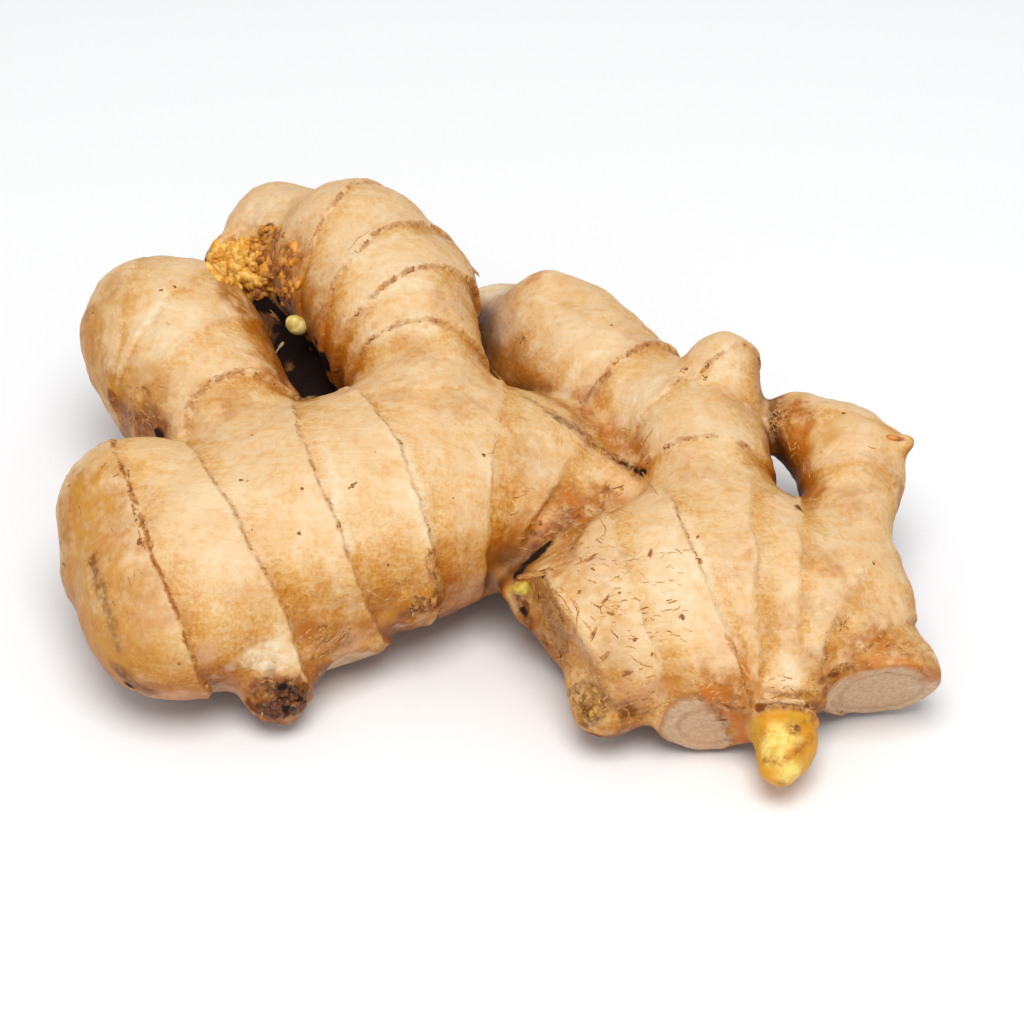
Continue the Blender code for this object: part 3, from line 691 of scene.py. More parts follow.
def fineSkin():
    mesh = evenSkin()
    base = bmesh.new()
    base.from_mesh(mesh)
    below = BVHTree.FromBMesh(base)
    base.free()
    mesh = throughModifier(mesh, "SUBSURF", levels=1, render_levels=1)
    settle(mesh, 1)
    print("even skin made")
    points = readPoints(mesh)
    normals = readNormals(mesh)
    shares = skinDistance(points)[1]
    height, gap, side, brown, which = ringFields(points, shares)
    fields = skinFields(points, normals, shares, below)
    fields["ringGap"] = gap
    fields["ringSide"] = side
    fields["ringBrown"] = brown
    fields["ringNumber"] = which
    for name, values in fields.items():
        layer = mesh.attributes.new(name, "FLOAT", "POINT")
        layer.data.foreach_set("value", values.astype(np.float32))
    height += relief(points)
    writePoints(mesh, points + normals * height[:, None])
    print("relief laid on")
    ratio = form["triangles"] / (2 * len(mesh.polygons))
    return throughModifier(mesh, "DECIMATE", ratio=ratio)


def finishPiece(name, shape, material):
    # Turns a bmesh in millimetres, as it grew, into a finished piece in its place
    middle = Vector((*form["outlineMiddle"], 0))
    bmesh.ops.translate(shape, verts=shape.verts[:], vec=-middle)
    bmesh.ops.scale(shape, verts=shape.verts[:], vec=(1 / metre, 1 / metre, 1 / metre))
    mesh = bpy.data.meshes.new(name)
    shape.to_mesh(mesh)
    shape.free()
    mesh.materials.append(material)
    mesh.shade_smooth()
    piece = bpy.data.objects.new(name, mesh)
    bpy.context.scene.collection.objects.link(piece)
    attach(piece, "root")
    return piece


# Material helpers
def srgb(red, green, blue):
    # A colour as seen on a screen, 0 to 255, as light
    def light(value):
        value = value / 255
        return value / 12.92 if value <= 0.04045 else ((value + 0.055) / 1.055) ** 2.4
    return (light(red), light(green), light(blue), 1.0)


def addNode(tree, kind, values=None, **settings):
    node = tree.nodes.new(kind)
    for name, value in settings.items():
        setattr(node, name, value)
    for name, value in (values or {}).items():
        if isinstance(value, bpy.types.NodeSocket):
            tree.links.new(value, node.inputs[name])
        else:
            node.inputs[name].default_value = value
    return node


def addMath(tree, operation, first, second=0.0, clamp=False):
    node = addNode(tree, "ShaderNodeMath", {0: first, 1: second}, operation=operation,
                   use_clamp=clamp)
    return node.outputs[0]


def addMix(tree, factor, first, second, blend="MIX"):
    node = tree.nodes.new("ShaderNodeMix")
    node.data_type = "RGBA"
    node.blend_type = blend
    for socket, value in ((node.inputs["Factor"], factor), (node.inputs[6], first),
                          (node.inputs[7], second)):
        if isinstance(value, bpy.types.NodeSocket):
            tree.links.new(value, socket)
        else:
            socket.default_value = value
    return node.outputs[2]


def addRange(tree, value, low, high, start=0.0, end=1.0, kind="SMOOTHSTEP"):
    node = addNode(tree, "ShaderNodeMapRange", {"Value": value, "From Min": low, "From Max": high,
                                                "To Min": start, "To Max": end},
                   interpolation_type=kind)
    return node.outputs["Result"]


def addNoise(tree, place, size, detail=3.0, rough=0.55, distortion=0.0):
    # Noise whose grains are about size millimetres
    node = addNode(tree, "ShaderNodeTexNoise", {"Vector": place, "Scale": metre / size,
                                                "Detail": detail, "Roughness": rough,
                                                "Distortion": distortion})
    return node.outputs["Fac"]


def newGroup(name, inputs, outputs):
    group = bpy.data.node_groups.new(name, "ShaderNodeTree")
    for socket, kind in inputs:
        group.interface.new_socket(name=socket, in_out="INPUT", socket_type=kind)
    for socket, kind in outputs:
        group.interface.new_socket(name=socket, in_out="OUTPUT", socket_type=kind)
    return group, group.nodes.new("NodeGroupInput"), group.nodes.new("NodeGroupOutput")


def ragGroup():
    # Breaks up the soft edge of a mask with noise
    group, given, out = newGroup("ragged mask", [("Mask", "NodeSocketFloat"),
                                                 ("Scale", "NodeSocketFloat"),
                                                 ("Break", "NodeSocketFloat")],
                                 [("Mask", "NodeSocketFloat")])
    place = addNode(group, "ShaderNodeTexCoord").outputs["Object"]
    specks = addNode(group, "ShaderNodeTexNoise", {"Vector": place, "Scale": given.outputs["Scale"],
                                                   "Detail": 4.0, "Roughness": 0.65})
    offset = addMath(group, "SUBTRACT", specks.outputs["Fac"], 0.5)
    offset = addMath(group, "MULTIPLY", offset, given.outputs["Break"])
    torn = addMath(group, "ADD", given.outputs["Mask"], offset)
    shown = addRange(group, torn, 0.2, 0.8)
    anywhere = addRange(group, given.outputs["Mask"], 0.0, 0.15)
    group.links.new(addMath(group, "MULTIPLY", shown, anywhere), out.inputs["Mask"])
    return group


def grainGroup():
    # The skin's fine grain: long fibres along each finger, speckle, and both as height
    group, given, out = newGroup("skin grain", [("Turned", "NodeSocketFloat")],
                                 [("Fibre", "NodeSocketFloat"), ("Speckle", "NodeSocketFloat"),
                                  ("Height", "NodeSocketFloat")])
    place = addNode(group, "ShaderNodeTexCoord").outputs["Object"]
    fibres = []
    for degrees in (20, -58):
        turn = addNode(group, "ShaderNodeMapping",
                       {"Vector": place, "Rotation": (0, 0, math.radians(-degrees)),
                        "Scale": (0.16, 1.0, 1.0)})
        fibres.append(addNoise(group, turn.outputs["Vector"], 1.1, 3.0, 0.6))
    mixed = addNode(group, "ShaderNodeMix", {"Factor": given.outputs["Turned"],
                                             2: fibres[0], 3: fibres[1]})
    fibre = mixed.outputs[0]
    speckle = addNoise(group, place, 0.7, 3.0, 0.6)
    wide = addNoise(group, place, 2.6, 2.0, 0.5)
    group.links.new(addRange(group, fibre, 0.3, 0.7, kind="LINEAR"), out.inputs["Fibre"])
    group.links.new(addRange(group, speckle, 0.3, 0.7, kind="LINEAR"), out.inputs["Speckle"])
    height = addMath(group, "MULTIPLY", fibre, 0.5)
    height = addMath(group, "ADD", height, addMath(group, "MULTIPLY", speckle, 0.35))
    height = addMath(group, "ADD", height, addMath(group, "MULTIPLY", wide, 0.5))
    group.links.new(height, out.inputs["Height"])
    return group


raggedMask = ragGroup()
skinGrain = grainGroup()

skinLook = {
    # direction of the painted light: skin facing it is painted palest
    "paintedLightFrom": (-0.1, -0.2, 0.95),    # the side of the root that stays palest
    "bulbFrom": (56, -66.6, 16.6),  # the yellow bud's bulb starts here
    # painted shade: colours from the side facing the painted light to the most shaded
    "shades": ((0.0, srgb(233, 196, 146)), (0.16, srgb(228, 186, 126)),
               (0.32, srgb(212, 158, 82)), (0.48, srgb(188, 122, 26)),
               (0.66, srgb(160, 89, 6)), (0.9, srgb(102, 50, 2))),
    "rosy": srgb(255, 232, 212),
    "straw": srgb(248, 226, 170),
    "honey": srgb(248, 218, 170),
    "cream": srgb(246, 226, 192),
    "ringBrown": srgb(172, 106, 40),
    "ringDark": srgb(122, 66, 22),
    # painted shade in creases and hollows
    "creaseShadeOrange": srgb(176, 98, 24),
    "creaseShadeBrown": srgb(74, 32, 6),
    "cutPale": srgb(212, 178, 142),
    "cutPink": srgb(192, 152, 114),
    "cutRing": srgb(158, 116, 78),
    "budGold": srgb(222, 150, 26),
    "budOlive": srgb(214, 158, 44),
    "crustGold": srgb(228, 164, 60),
    "crustBrown": srgb(140, 74, 14),
    "roughness": 0.47,
    "dryRoughness": 0.95,           # of scabs and dark hollows
    "specular": 0.32,
    "bump": 0.42,                   # height of the fine grain in mm
    "laidLater": ("brown", "dark", "net", "yellow", "lemonPaleAndHighlight", "rust", "crust"),
    # tone: colour, size of its clouds or ragged edge in mm, how ragged
    "tones": {
        # golden tone, partly painted shade
        "warmToneAndShade": (srgb(174, 100, 6), 3.0, 0),
        "ochre": (srgb(202, 140, 36), 2.6, 0),
        "pink": (srgb(224, 174, 134), 3.0, 0),
        # pale skin and painted highlights
        "pale": (srgb(242, 220, 182), 2.0, 0),
        "grey": (srgb(168, 124, 76), 1.6, 0),
        # orange-brown, partly painted shade
        "orange": (srgb(204, 110, 8), 1.6, 0),
        "olive": (srgb(156, 108, 26), 1.0, 0),
        "burnt": (srgb(160, 86, 14), 1.2, 0),
        # dark brown, partly painted shade
        "umber": (srgb(112, 55, 3), 1.3, 0),
        # near black-brown, partly painted shade
        "char": (srgb(48, 19, 4), 1.3, 0),
        "brown": (srgb(122, 64, 18), 1.0, 0.9),
        "net": (srgb(196, 146, 84), 0.8, 0.5),
        # pale lemon, partly a painted highlight
        "lemonPaleAndHighlight": (srgb(252, 226, 124), 2.0, 0),
        "rust": (srgb(172, 96, 12), 0.8, 0),
        "crust": (None, 1.6, 0.8),      # these two have colours of their own below
        "yellow": (None, 1.0, 0.4),
        # near black, for dark holes and painted shade
        "dark": (srgb(28, 9, 2), 1.0, 0.7),
    },
}


def fromMesh(tree, name):
    return addNode(tree, "ShaderNodeAttribute", attribute_name=name).outputs["Fac"]


def addRagged(tree, mask, size, tear):
    # A mask from the mesh, with its edge broken up, or clouded if it doesn't tear
    if tear == 0:
        place = addNode(tree, "ShaderNodeTexCoord").outputs["Object"]
        clouds = addRange(tree, addNoise(tree, place, size, 4.0, 0.65), 0.32, 0.62, 0.3, 1.0)
        return addMath(tree, "MULTIPLY", mask, clouds)
    rag = addNode(tree, "ShaderNodeGroup", node_tree=raggedMask)
    tree.links.new(mask, rag.inputs["Mask"])
    rag.inputs["Scale"].default_value = metre / size
    rag.inputs["Break"].default_value = tear
    return rag.outputs["Mask"]


def addTone(tree, colour, tone, paint=None):
    # Lays a tone of its own colour, or of a given one, where the mesh says
    own, size, tear = skinLook["tones"][tone]
    mask = addRagged(tree, fromMesh(tree, tone), size, tear)
    return addMix(tree, mask, colour, own if paint is None else paint)


def shadeColour(tree, shade):
    # The skin's colour with painted light and shade, from its lit side to its shaded one
    ramp = addNode(tree, "ShaderNodeValToRGB", {"Fac": shade})
    stops = ramp.color_ramp.elements
    for number, (place, paint) in enumerate(skinLook["shades"]):
        stop = stops[number] if number < 2 else stops.new(place)
        stop.position = place
        stop.color = paint
    return ramp.outputs["Color"]


def addCut(tree, colour, place):
    # Grey-pink cut faces with a darker ring inside the rim and fibres across
    depth = fromMesh(tree, "cutDepth")
    wander = addMath(tree, "MULTIPLY", addNoise(tree, place, 3.0), 1.6)
    depth = addMath(tree, "ADD", depth, addMath(tree, "SUBTRACT", wander, 0.8))
    speckle = addRange(tree, addNoise(tree, place, 0.8, 3.0, 0.7), 0.35, 0.65)
    face = addMix(tree, speckle, skinLook["cutPink"], skinLook["cutPale"])
    ring = addMath(tree, "ABSOLUTE", addMath(tree, "SUBTRACT", depth, 3.6))
    face = addMix(tree, addRange(tree, ring, 0.9, 0.1, 0.0, 0.4), face, skinLook["cutRing"])
    rim = addRange(tree, depth, 1.2, 0.3, 0.0, 0.7)
    face = addMix(tree, rim, face, skinLook["ringBrown"])
    return addMix(tree, addRange(tree, fromMesh(tree, "cutFace"), 0.3, 0.6), colour, face)


def skinMaterial():
    material = bpy.data.materials.new("ginger skin")
    material.use_nodes = True
    tree = material.node_tree
    shader = tree.nodes["Principled BSDF"]
    place = addNode(tree, "ShaderNodeTexCoord").outputs["Object"]
    grainy = addNode(tree, "ShaderNodeGroup", node_tree=skinGrain)
    tree.links.new(fromMesh(tree, "turned"), grainy.inputs["Turned"])
    fibre = grainy.outputs["Fibre"]
    speckle = grainy.outputs["Speckle"]

    # Painted light and shade beside a ring: pale above it and golden below it
    gap = fromMesh(tree, "ringGap")
    side = fromMesh(tree, "ringSide")
    near = addRange(tree, gap, 8.0, 0.0)
    below = addMath(tree, "MULTIPLY", near, addRange(tree, side, 0.0, 0.6, 0.0, 0.2))
    above = addMath(tree, "MULTIPLY", near, addRange(tree, side, 0.0, -0.8, 0.0, 0.12))
    clouds = addNoise(tree, place, 14.0, 3.0, 0.5)
    blotch = addNoise(tree, place, 4.0, 4.0, 0.6)
    shade = addMath(tree, "ADD", fromMesh(tree, "shade"), below)
    shade = addMath(tree, "SUBTRACT", shade, above)
    for cloud, low, high, much in ((clouds, 0.3, 0.7, 0.07), (blotch, 0.3, 0.7, 0.06),
                                   (speckle, 0.0, 1.0, 0.1)):
        uneven = addRange(tree, cloud, low, high, -much, much, "LINEAR")
        shade = addMath(tree, "ADD", shade, uneven)
    shade = addMath(tree, "SUBTRACT", shade, addRange(tree, fibre, 0.4, 1.0, 0.0, 0.1, "LINEAR"))
    colour = shadeColour(tree, shade)
    for tone, size, amount in (("rosy", 8.0, 0.4), ("straw", 3.4, 0.5), ("cream", 5.5, 0.3),
                               ("honey", 1.5, 0.5)):
        cloud = addRange(tree, addNoise(tree, place, size, 4.0, 0.65), 0.48, 0.68, 0.0, amount)
        colour = addMix(tree, cloud, colour, skinLook[tone], "MIX" if tone == "cream" else "MULTIPLY")
    colour = addCut(tree, colour, place)

    for tone in skinLook["tones"]:
        if tone not in skinLook["laidLater"]:
            colour = addTone(tree, colour, tone)

    # The frayed brown line of a ring
    fray = addNoise(tree, place, 0.9, 3.0, 0.6)
    wander = addMath(tree, "MULTIPLY", addMath(tree, "SUBTRACT", fray, 0.5), 1.5)
    line = addMath(tree, "ABSOLUTE", addMath(tree, "ADD", side, wander))
    dashes = addRange(tree, addNoise(tree, place, 3.2, 2.0, 0.6), 0.36, 0.56)
    nearest = addRange(tree, gap, 2.0, 0.8)
    power = addMath(tree, "MULTIPLY", addMath(tree, "MULTIPLY", nearest, dashes),
                    fromMesh(tree, "ringBrown"))
    soft = addMath(tree, "MULTIPLY", addRange(tree, line, 0.8, 0.15), power, clamp=True)
    colour = addMix(tree, soft, colour, skinLook["ringBrown"])
    fleck = addRange(tree, addNoise(tree, place, 0.7, 2.0, 0.6), 0.52, 0.62)
    thin = addMath(tree, "MULTIPLY", addRange(tree, line, 0.35, 0.1), fleck)
    colour = addMix(tree, addMath(tree, "MULTIPLY", thin, power, clamp=True), colour,
                    skinLook["ringDark"])

    # Painted shade: creases go orange, then brown
    crease = fromMesh(tree, "crease")
    hollow = fromMesh(tree, "hollow")
    colour = addMix(tree, addRange(tree, hollow, 0.5, 0.98, 0.0, 0.45), colour,
                    skinLook["creaseShadeOrange"])
    colour = addMix(tree, addRange(tree, crease, 0.3, 0.85, 0.0, 0.8), colour,
                    skinLook["creaseShadeBrown"])

    # The porous scar is a pale net over brown
    cells = addNode(tree, "ShaderNodeTexVoronoi", {"Vector": place, "Scale": metre / 1.1},
                    feature="DISTANCE_TO_EDGE").outputs["Distance"]
    netted = addMath(tree, "MULTIPLY", fromMesh(tree, "net"), addRange(tree, cells, 0.12, 0.04))
    colour = addMix(tree, netted, colour, skinLook["tones"]["net"][0])

    # The yellow bud: golden, with a pale side that is partly a painted highlight, olive clouds and rusty
    # seams
    bulb = addMix(tree, addRange(tree, addNoise(tree, place, 5.0, 3.0, 0.5), 0.42, 0.62),
                  skinLook["budGold"], skinLook["budOlive"])
    for tone in ("lemonPaleAndHighlight", "rust"):
        bulb = addTone(tree, bulb, tone)
    colour = addTone(tree, colour, "yellow", bulb)

    # The crust: golden crumbs with brown between them
    crumb = addNode(tree, "ShaderNodeTexVoronoi", {"Vector": place, "Scale": metre / 1.7})
    between = addMath(tree, "ADD", crumb.outputs["Distance"],
                      addRange(tree, addNoise(tree, place, 2.0, 4.0, 0.7), 0.3, 0.7, -0.3, 0.3))
    crusty = addMix(tree, addRange(tree, between, 0.15, 1.0), skinLook["crustGold"],
                    skinLook["crustBrown"])
    colour = addTone(tree, colour, "crust", crusty)
    for tone in ("brown", "dark"):
        colour = addTone(tree, colour, tone)

    tree.links.new(colour, shader.inputs["Base Color"])
    dry = addMath(tree, "MAXIMUM", fromMesh(tree, "dark"), fromMesh(tree, "brown"))
    rough = addRange(tree, dry, 0.1, 0.6, skinLook["roughness"], skinLook["dryRoughness"])
    tree.links.new(rough, shader.inputs["Roughness"])
    shader.inputs["Specular IOR Level"].default_value = skinLook["specular"]
    bump = addNode(tree, "ShaderNodeBump", {"Height": grainy.outputs["Height"], "Strength": 1.0,
                                            "Distance": skinLook["bump"] / metre})
    tree.links.new(bump.outputs["Normal"], shader.inputs["Normal"])
    return material


# Skin
def buildSkin():
    skin = bmesh.new()
    mesh = fineSkin()
    skin.from_mesh(mesh)
    bpy.data.meshes.remove(mesh)
    geometry = skin.verts[:] + skin.edges[:] + skin.faces[:]
    sliced = bmesh.ops.bisect_plane(skin, geom=geometry, dist=1e-5, plane_co=(0, 0, 0),
                                    plane_no=(0, 0, 1), clear_inner=True)
    rim = [item for item in sliced["geom_cut"] if isinstance(item, bmesh.types.BMEdge)]
    bmesh.ops.holes_fill(skin, edges=rim)
    bmesh.ops.triangulate(skin, faces=[face for face in skin.faces if len(face.verts) > 3])
    bmesh.ops.recalc_face_normals(skin, faces=skin.faces[:])
    surface = BVHTree.FromBMesh(skin)
    gap = skin.verts.layers.float["ringGap"]
    browning = skin.verts.layers.float["ringBrown"]
    which = skin.verts.layers.float["ringNumber"]
    ringSpots = []
    for vert in skin.verts:
        if vert[gap] < 0.3 and vert[browning] > 0.25 and vert.normal.length > 0.5:
            turn, rise = rings[round(vert[which])][2:4]
            ringSpots.append((vert.co.copy(), vert.normal.copy(), Vector(heading(turn, rise))))
    print("skin has", len(skin.faces), "faces and", len(ringSpots), "places on rings")
    piece = finishPiece("ginger_body", skin, skinMaterial())
    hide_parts("ginger_root")
    return surface, ringSpots


surface, ringSpots = buildSkin()
print("skin done")


def seen(pixel):
    # Where the line of sight through a pixel meets the skin, and the way the skin faces
    shift = np.array([*form["outlineMiddle"], 0])
    place, facing, _, _ = surface.ray_cast(Vector(eye + shift), Vector(sightLine(pixel)))
    return place, facing


def hiddenPlace(chance):
    # A random place on the sides that the photograph doesn't show, or None
    away = Vector([chance.uniform(-1, 1) for _ in range(3)]).normalized()
    start = Vector((chance.uniform(-75, 75), chance.uniform(-50, 55), 20)) + away * 200
    place, facing, _, _ = surface.ray_cast(start, -away)
    if place is None or facing.dot(Vector(-lookAlong)) > 0.1 or place.z < 2:
        return None, None
    return place, facing


def alongSkin(facing, degrees):
    # A direction on the skin that looks like that angle in the picture
    turn = math.radians(degrees)
    across = Vector((1, 0, 0)) * math.cos(turn) + Vector(lookUp) * math.sin(turn)
    across -= facing * across.dot(facing)
    return across.normalized()


def plainMaterial(name, first, second, size, roughness=0.6):
    # Two colours in ragged clouds, with a little bump
    material = bpy.data.materials.new(name)
    material.use_nodes = True
    tree = material.node_tree
    shader = tree.nodes["Principled BSDF"]
    place = addNode(tree, "ShaderNodeTexCoord").outputs["Object"]
    clouds = addNoise(tree, place, size, 4.0, 0.65)
    tree.links.new(addMix(tree, addRange(tree, clouds, 0.4, 0.6), first, second),
                   shader.inputs["Base Color"])
    shader.inputs["Roughness"].default_value = roughness
    bump = addNode(tree, "ShaderNodeBump", {"Height": clouds, "Strength": 0.6,
                                            "Distance": 0.2 / metre})
    tree.links.new(bump.outputs["Normal"], shader.inputs["Normal"])
    return material


# Root scars: the dark spots, as place in the photograph and radius
scars = {
    "seen": [
        (93, 313, 0.4), (161, 290, 0.6), (175, 287, 0.5), (116, 410, 0.5), (113, 399, 0.8),
        (63, 563, 0.7), (128, 471, 0.5), (130, 491, 0.5), (140, 542, 0.9), (136, 520, 0.5),
        (252, 435, 0.35), (241, 480, 0.4), (247, 481, 0.4), (302, 489, 0.45), (352, 486, 0.6),
        (356, 483, 0.5), (299, 534, 0.4), (252, 530, 0.3), (388, 565, 0.4), (178, 664, 0.5),
        (484, 455, 0.5), (375, 452, 0.3), (611, 325, 0.5), (524, 338, 0.5), (521, 342, 0.4),
        (843, 413, 0.7), (822, 452, 0.4), (682, 618, 0.7), (635, 639, 0.6), (652, 654, 0.3),
        (593, 569, 0.5), (573, 548, 0.5), (580, 592, 0.5), (619, 594, 0.6), (698, 537, 0.4),
        (874, 564, 0.5), (843, 625, 0.8), (573, 692, 0.7), (887, 646, 0.5), (797, 728, 0.8),
        (754, 733, 0.4), (705, 378, 0.6), (686, 369, 0.8), (571, 545, 0.4), (453, 498, 0.3),
        (540, 523, 0.5), (416, 604, 0.5), (424, 612, 0.5)],
    "elsewhere": 70,        # more of them on the sides that the photograph doesn't show
    "height": 0.18,
    "seed": 4,
}


def addScar(shape, place, facing, radius, chance):
    # A low dome with a sunken middle
    turn = facing.to_track_quat("Z", "Y").to_matrix().to_4x4()
    size = Matrix.Diagonal((radius, radius * chance.uniform(0.6, 1.0), scars["height"], 1))
    spin = Matrix.Rotation(chance.uniform(0, math.pi), 4, "Z")
    made = bmesh.ops.create_icosphere(shape, subdivisions=2, radius=1.0,
                                      matrix=Matrix.Translation(place) @ turn @ spin @ size)
    for vert in made["verts"]:
        vert.co += facing * 0.2 * (noise.noise(vert.co * 1.7) - 0.4)
        vert.co += 0.2 * noise.noise_vector(vert.co * 2.2)


def buildScars():
    chance = random.Random(scars["seed"])
    shape = bmesh.new()
    for x, y, radius in scars["seen"]:
        place, facing = seen((x, y))
        if place is not None:
            addScar(shape, place, facing, radius, chance)
    made = 0
    while made < scars["elsewhere"]:
        place, facing = hiddenPlace(chance)
        if place is not None:
            addScar(shape, place, facing, chance.uniform(0.3, 0.7), chance)
            made += 1
    brown = plainMaterial("root scar", srgb(174, 116, 58), srgb(122, 70, 28), 0.6, 0.8)
    finishPiece("root_scars", shape, brown)


buildScars()
print("root scars done")


# Loose skin: place in the photograph, angle there, length, width and how much it curls
loose = {
    "papers": [
        ((430, 553), -80, 4.5, 2.2, 0.9), ((437, 572), -60, 3.5, 1.6, 0.8),
        ((435, 594), -100, 3.0, 1.6, 0.8), ((472, 268), 10, 2.6, 2.0, 0.7),
        ((576, 505), -60, 5.0, 3.2, 0.5), ((545, 572), 165, 6.0, 2.6, 0.8),
        ((535, 580), -130, 5.0, 2.4, 0.9), ((148, 400), 100, 4.0, 1.6, 0.6),
        ((140, 412), 120, 3.5, 1.4, 0.7), ((583, 562), 20, 3.6, 0.7, 0.4),
        ((574, 566), -20, 3.0, 0.7, 0.4), ((600, 606), 50, 3.0, 0.6, 0.5),
        ((603, 612), -10, 2.6, 0.6, 0.5), ((318, 640), 35, 5.0, 0.7, 0.3),
        ((325, 646), 40, 5.5, 0.7, 0.3), ((331, 650), 42, 5.0, 0.6, 0.4), ((312, 634), 30, 4.0, 0.8, 0.4),
        ((285, 330), -100, 6.0, 1.2, 0.5), ((268, 311), -20, 3.5, 1.2, 0.6),
        ((716, 704), -40, 4.0, 1.8, 0.7), ((600, 497), 60, 3.5, 1.6, 0.6),
        ((612, 492), 30, 3.0, 1.4, 0.6), ((886, 630), -30, 3.0, 1.0, 0.5),
        ((760, 700), -60, 2.6, 1.2, 0.6), ((648, 560), 80, 3.0, 0.8, 0.4),
        ((590, 640), 60, 3.0, 0.8, 0.4), ((600, 660), 40, 3.2, 0.8, 0.4), ((618, 676), 20, 3.0, 0.9, 0.5)],
    "fringe": 420,          # small shreds along the rings
    "thickness": 0.12,
    "seed": 9,
}


def addPaper(shape, place, facing, along, length, width, curl, chance):
    # One shred of skin, rooted in the surface and lifting towards its ragged end
    made = bmesh.ops.create_grid(shape, x_segments=5, y_segments=3, size=0.5)
    sideways = facing.cross(along)
    for vert in made["verts"]:
        t = vert.co.x + 0.5
        across = vert.co.y
        narrow = 1 - 0.45 * t * t
        ragged = 1 + (0.35 * (chance.random() - 0.5) if t > 0.9 else 0)
        lift = curl * length * 0.22 * t * t - 0.12 + 0.25 * width * across * across
        vert.co = (place + along * ((t * ragged - 0.15) * length)
                   + sideways * (across * width * narrow) + facing * lift)
    sheet = list({face for vert in made["verts"] for face in vert.link_faces})
    bmesh.ops.solidify(shape, geom=sheet, thickness=loose["thickness"])


def buildLooseSkin():
    chance = random.Random(loose["seed"])
    shape = bmesh.new()
    for pixel, degrees, length, width, curl in loose["papers"]:
        place, facing = seen(pixel)
        if place is not None:
            addPaper(shape, place, facing, alongSkin(facing, degrees), length, width, curl, chance)
    step = max(1, len(ringSpots) // loose["fringe"])
    for place, facing, down in ringSpots[::step]:
        along = (down - facing * down.dot(facing)).normalized()
        addPaper(shape, place, facing, along, chance.uniform(0.6, 1.3), chance.uniform(0.5, 1.6),
                 chance.uniform(0.1, 0.4), chance)
    bmesh.ops.recalc_face_normals(shape, faces=shape.faces[:])
    dry = plainMaterial("dry skin", srgb(206, 150, 82), srgb(158, 94, 34), 1.6, 0.75)
    finishPiece("loose_skin", shape, dry)


buildLooseSkin()
print("loose skin done")


# Thin roots: place in the photograph, angle there, length and radius
rootlets = {
    "strands": [((572, 722), -115, 4.0, 0.45), ((585, 731), -80, 2.2, 0.3),
                ((262, 712), -100, 1.6, 0.3), ((283, 342), -95, 5.0, 0.45),
                ((232, 284), -140, 2.4, 0.3), ((414, 612), -100, 1.4, 0.3)],
    "sag": 0.5,
}


def addRootlet(shape, place, facing, along, length, radius):
    # A thin tube that leaves the skin, bends over and ends in a point
    made = bmesh.ops.create_circle(shape, cap_ends=False, segments=7, radius=1.0)
    rim = made["verts"]
    steps = 7
    flat = [vert.co.copy() for vert in rim]
    edges = list({edge for vert in rim for edge in vert.link_edges})
    for step in range(steps + 1):
        t = step / steps
        forward = (facing * (1 - t * rootlets["sag"]) + along * (0.3 + t)).normalized()
        centre = place + (facing * (t - 0.4 * t * t) * 0.6 + along * t * 0.8) * length
        centre -= facing * 0.3
        turn = forward.to_track_quat("Z", "Y").to_matrix()
        size = radius * (1 - 0.85 * t) * (1 + 0.2 * math.sin(9 * t))
        for vert, corner in zip(rim, flat):
            vert.co = centre + turn @ (corner * size)
        if step < steps:
            grown = bmesh.ops.extrude_edge_only(shape, edges=edges)["geom"]
            rim = [item for item in grown if isinstance(item, bmesh.types.BMVert)]
            edges = [item for item in grown if isinstance(item, bmesh.types.BMEdge)]
            rim.sort(key=lambda vert: vert.index)
    bmesh.ops.holes_fill(shape, edges=edges)


def buildRootlets():
    shape = bmesh.new()
    for pixel, degrees, length, radius in rootlets["strands"]:
        place, facing = seen(pixel)
        if place is not None:
            addRootlet(shape, place, facing, alongSkin(facing, degrees), length, radius)
    bmesh.ops.holes_fill(shape, edges=[edge for edge in shape.edges if edge.is_boundary])
    bmesh.ops.recalc_face_normals(shape, faces=shape.faces[:])
    pale = plainMaterial("rootlet", srgb(226, 190, 138), srgb(168, 118, 66), 1.2)
    finishPiece("rootlets", shape, pale)


buildRootlets()
print("rootlets done")


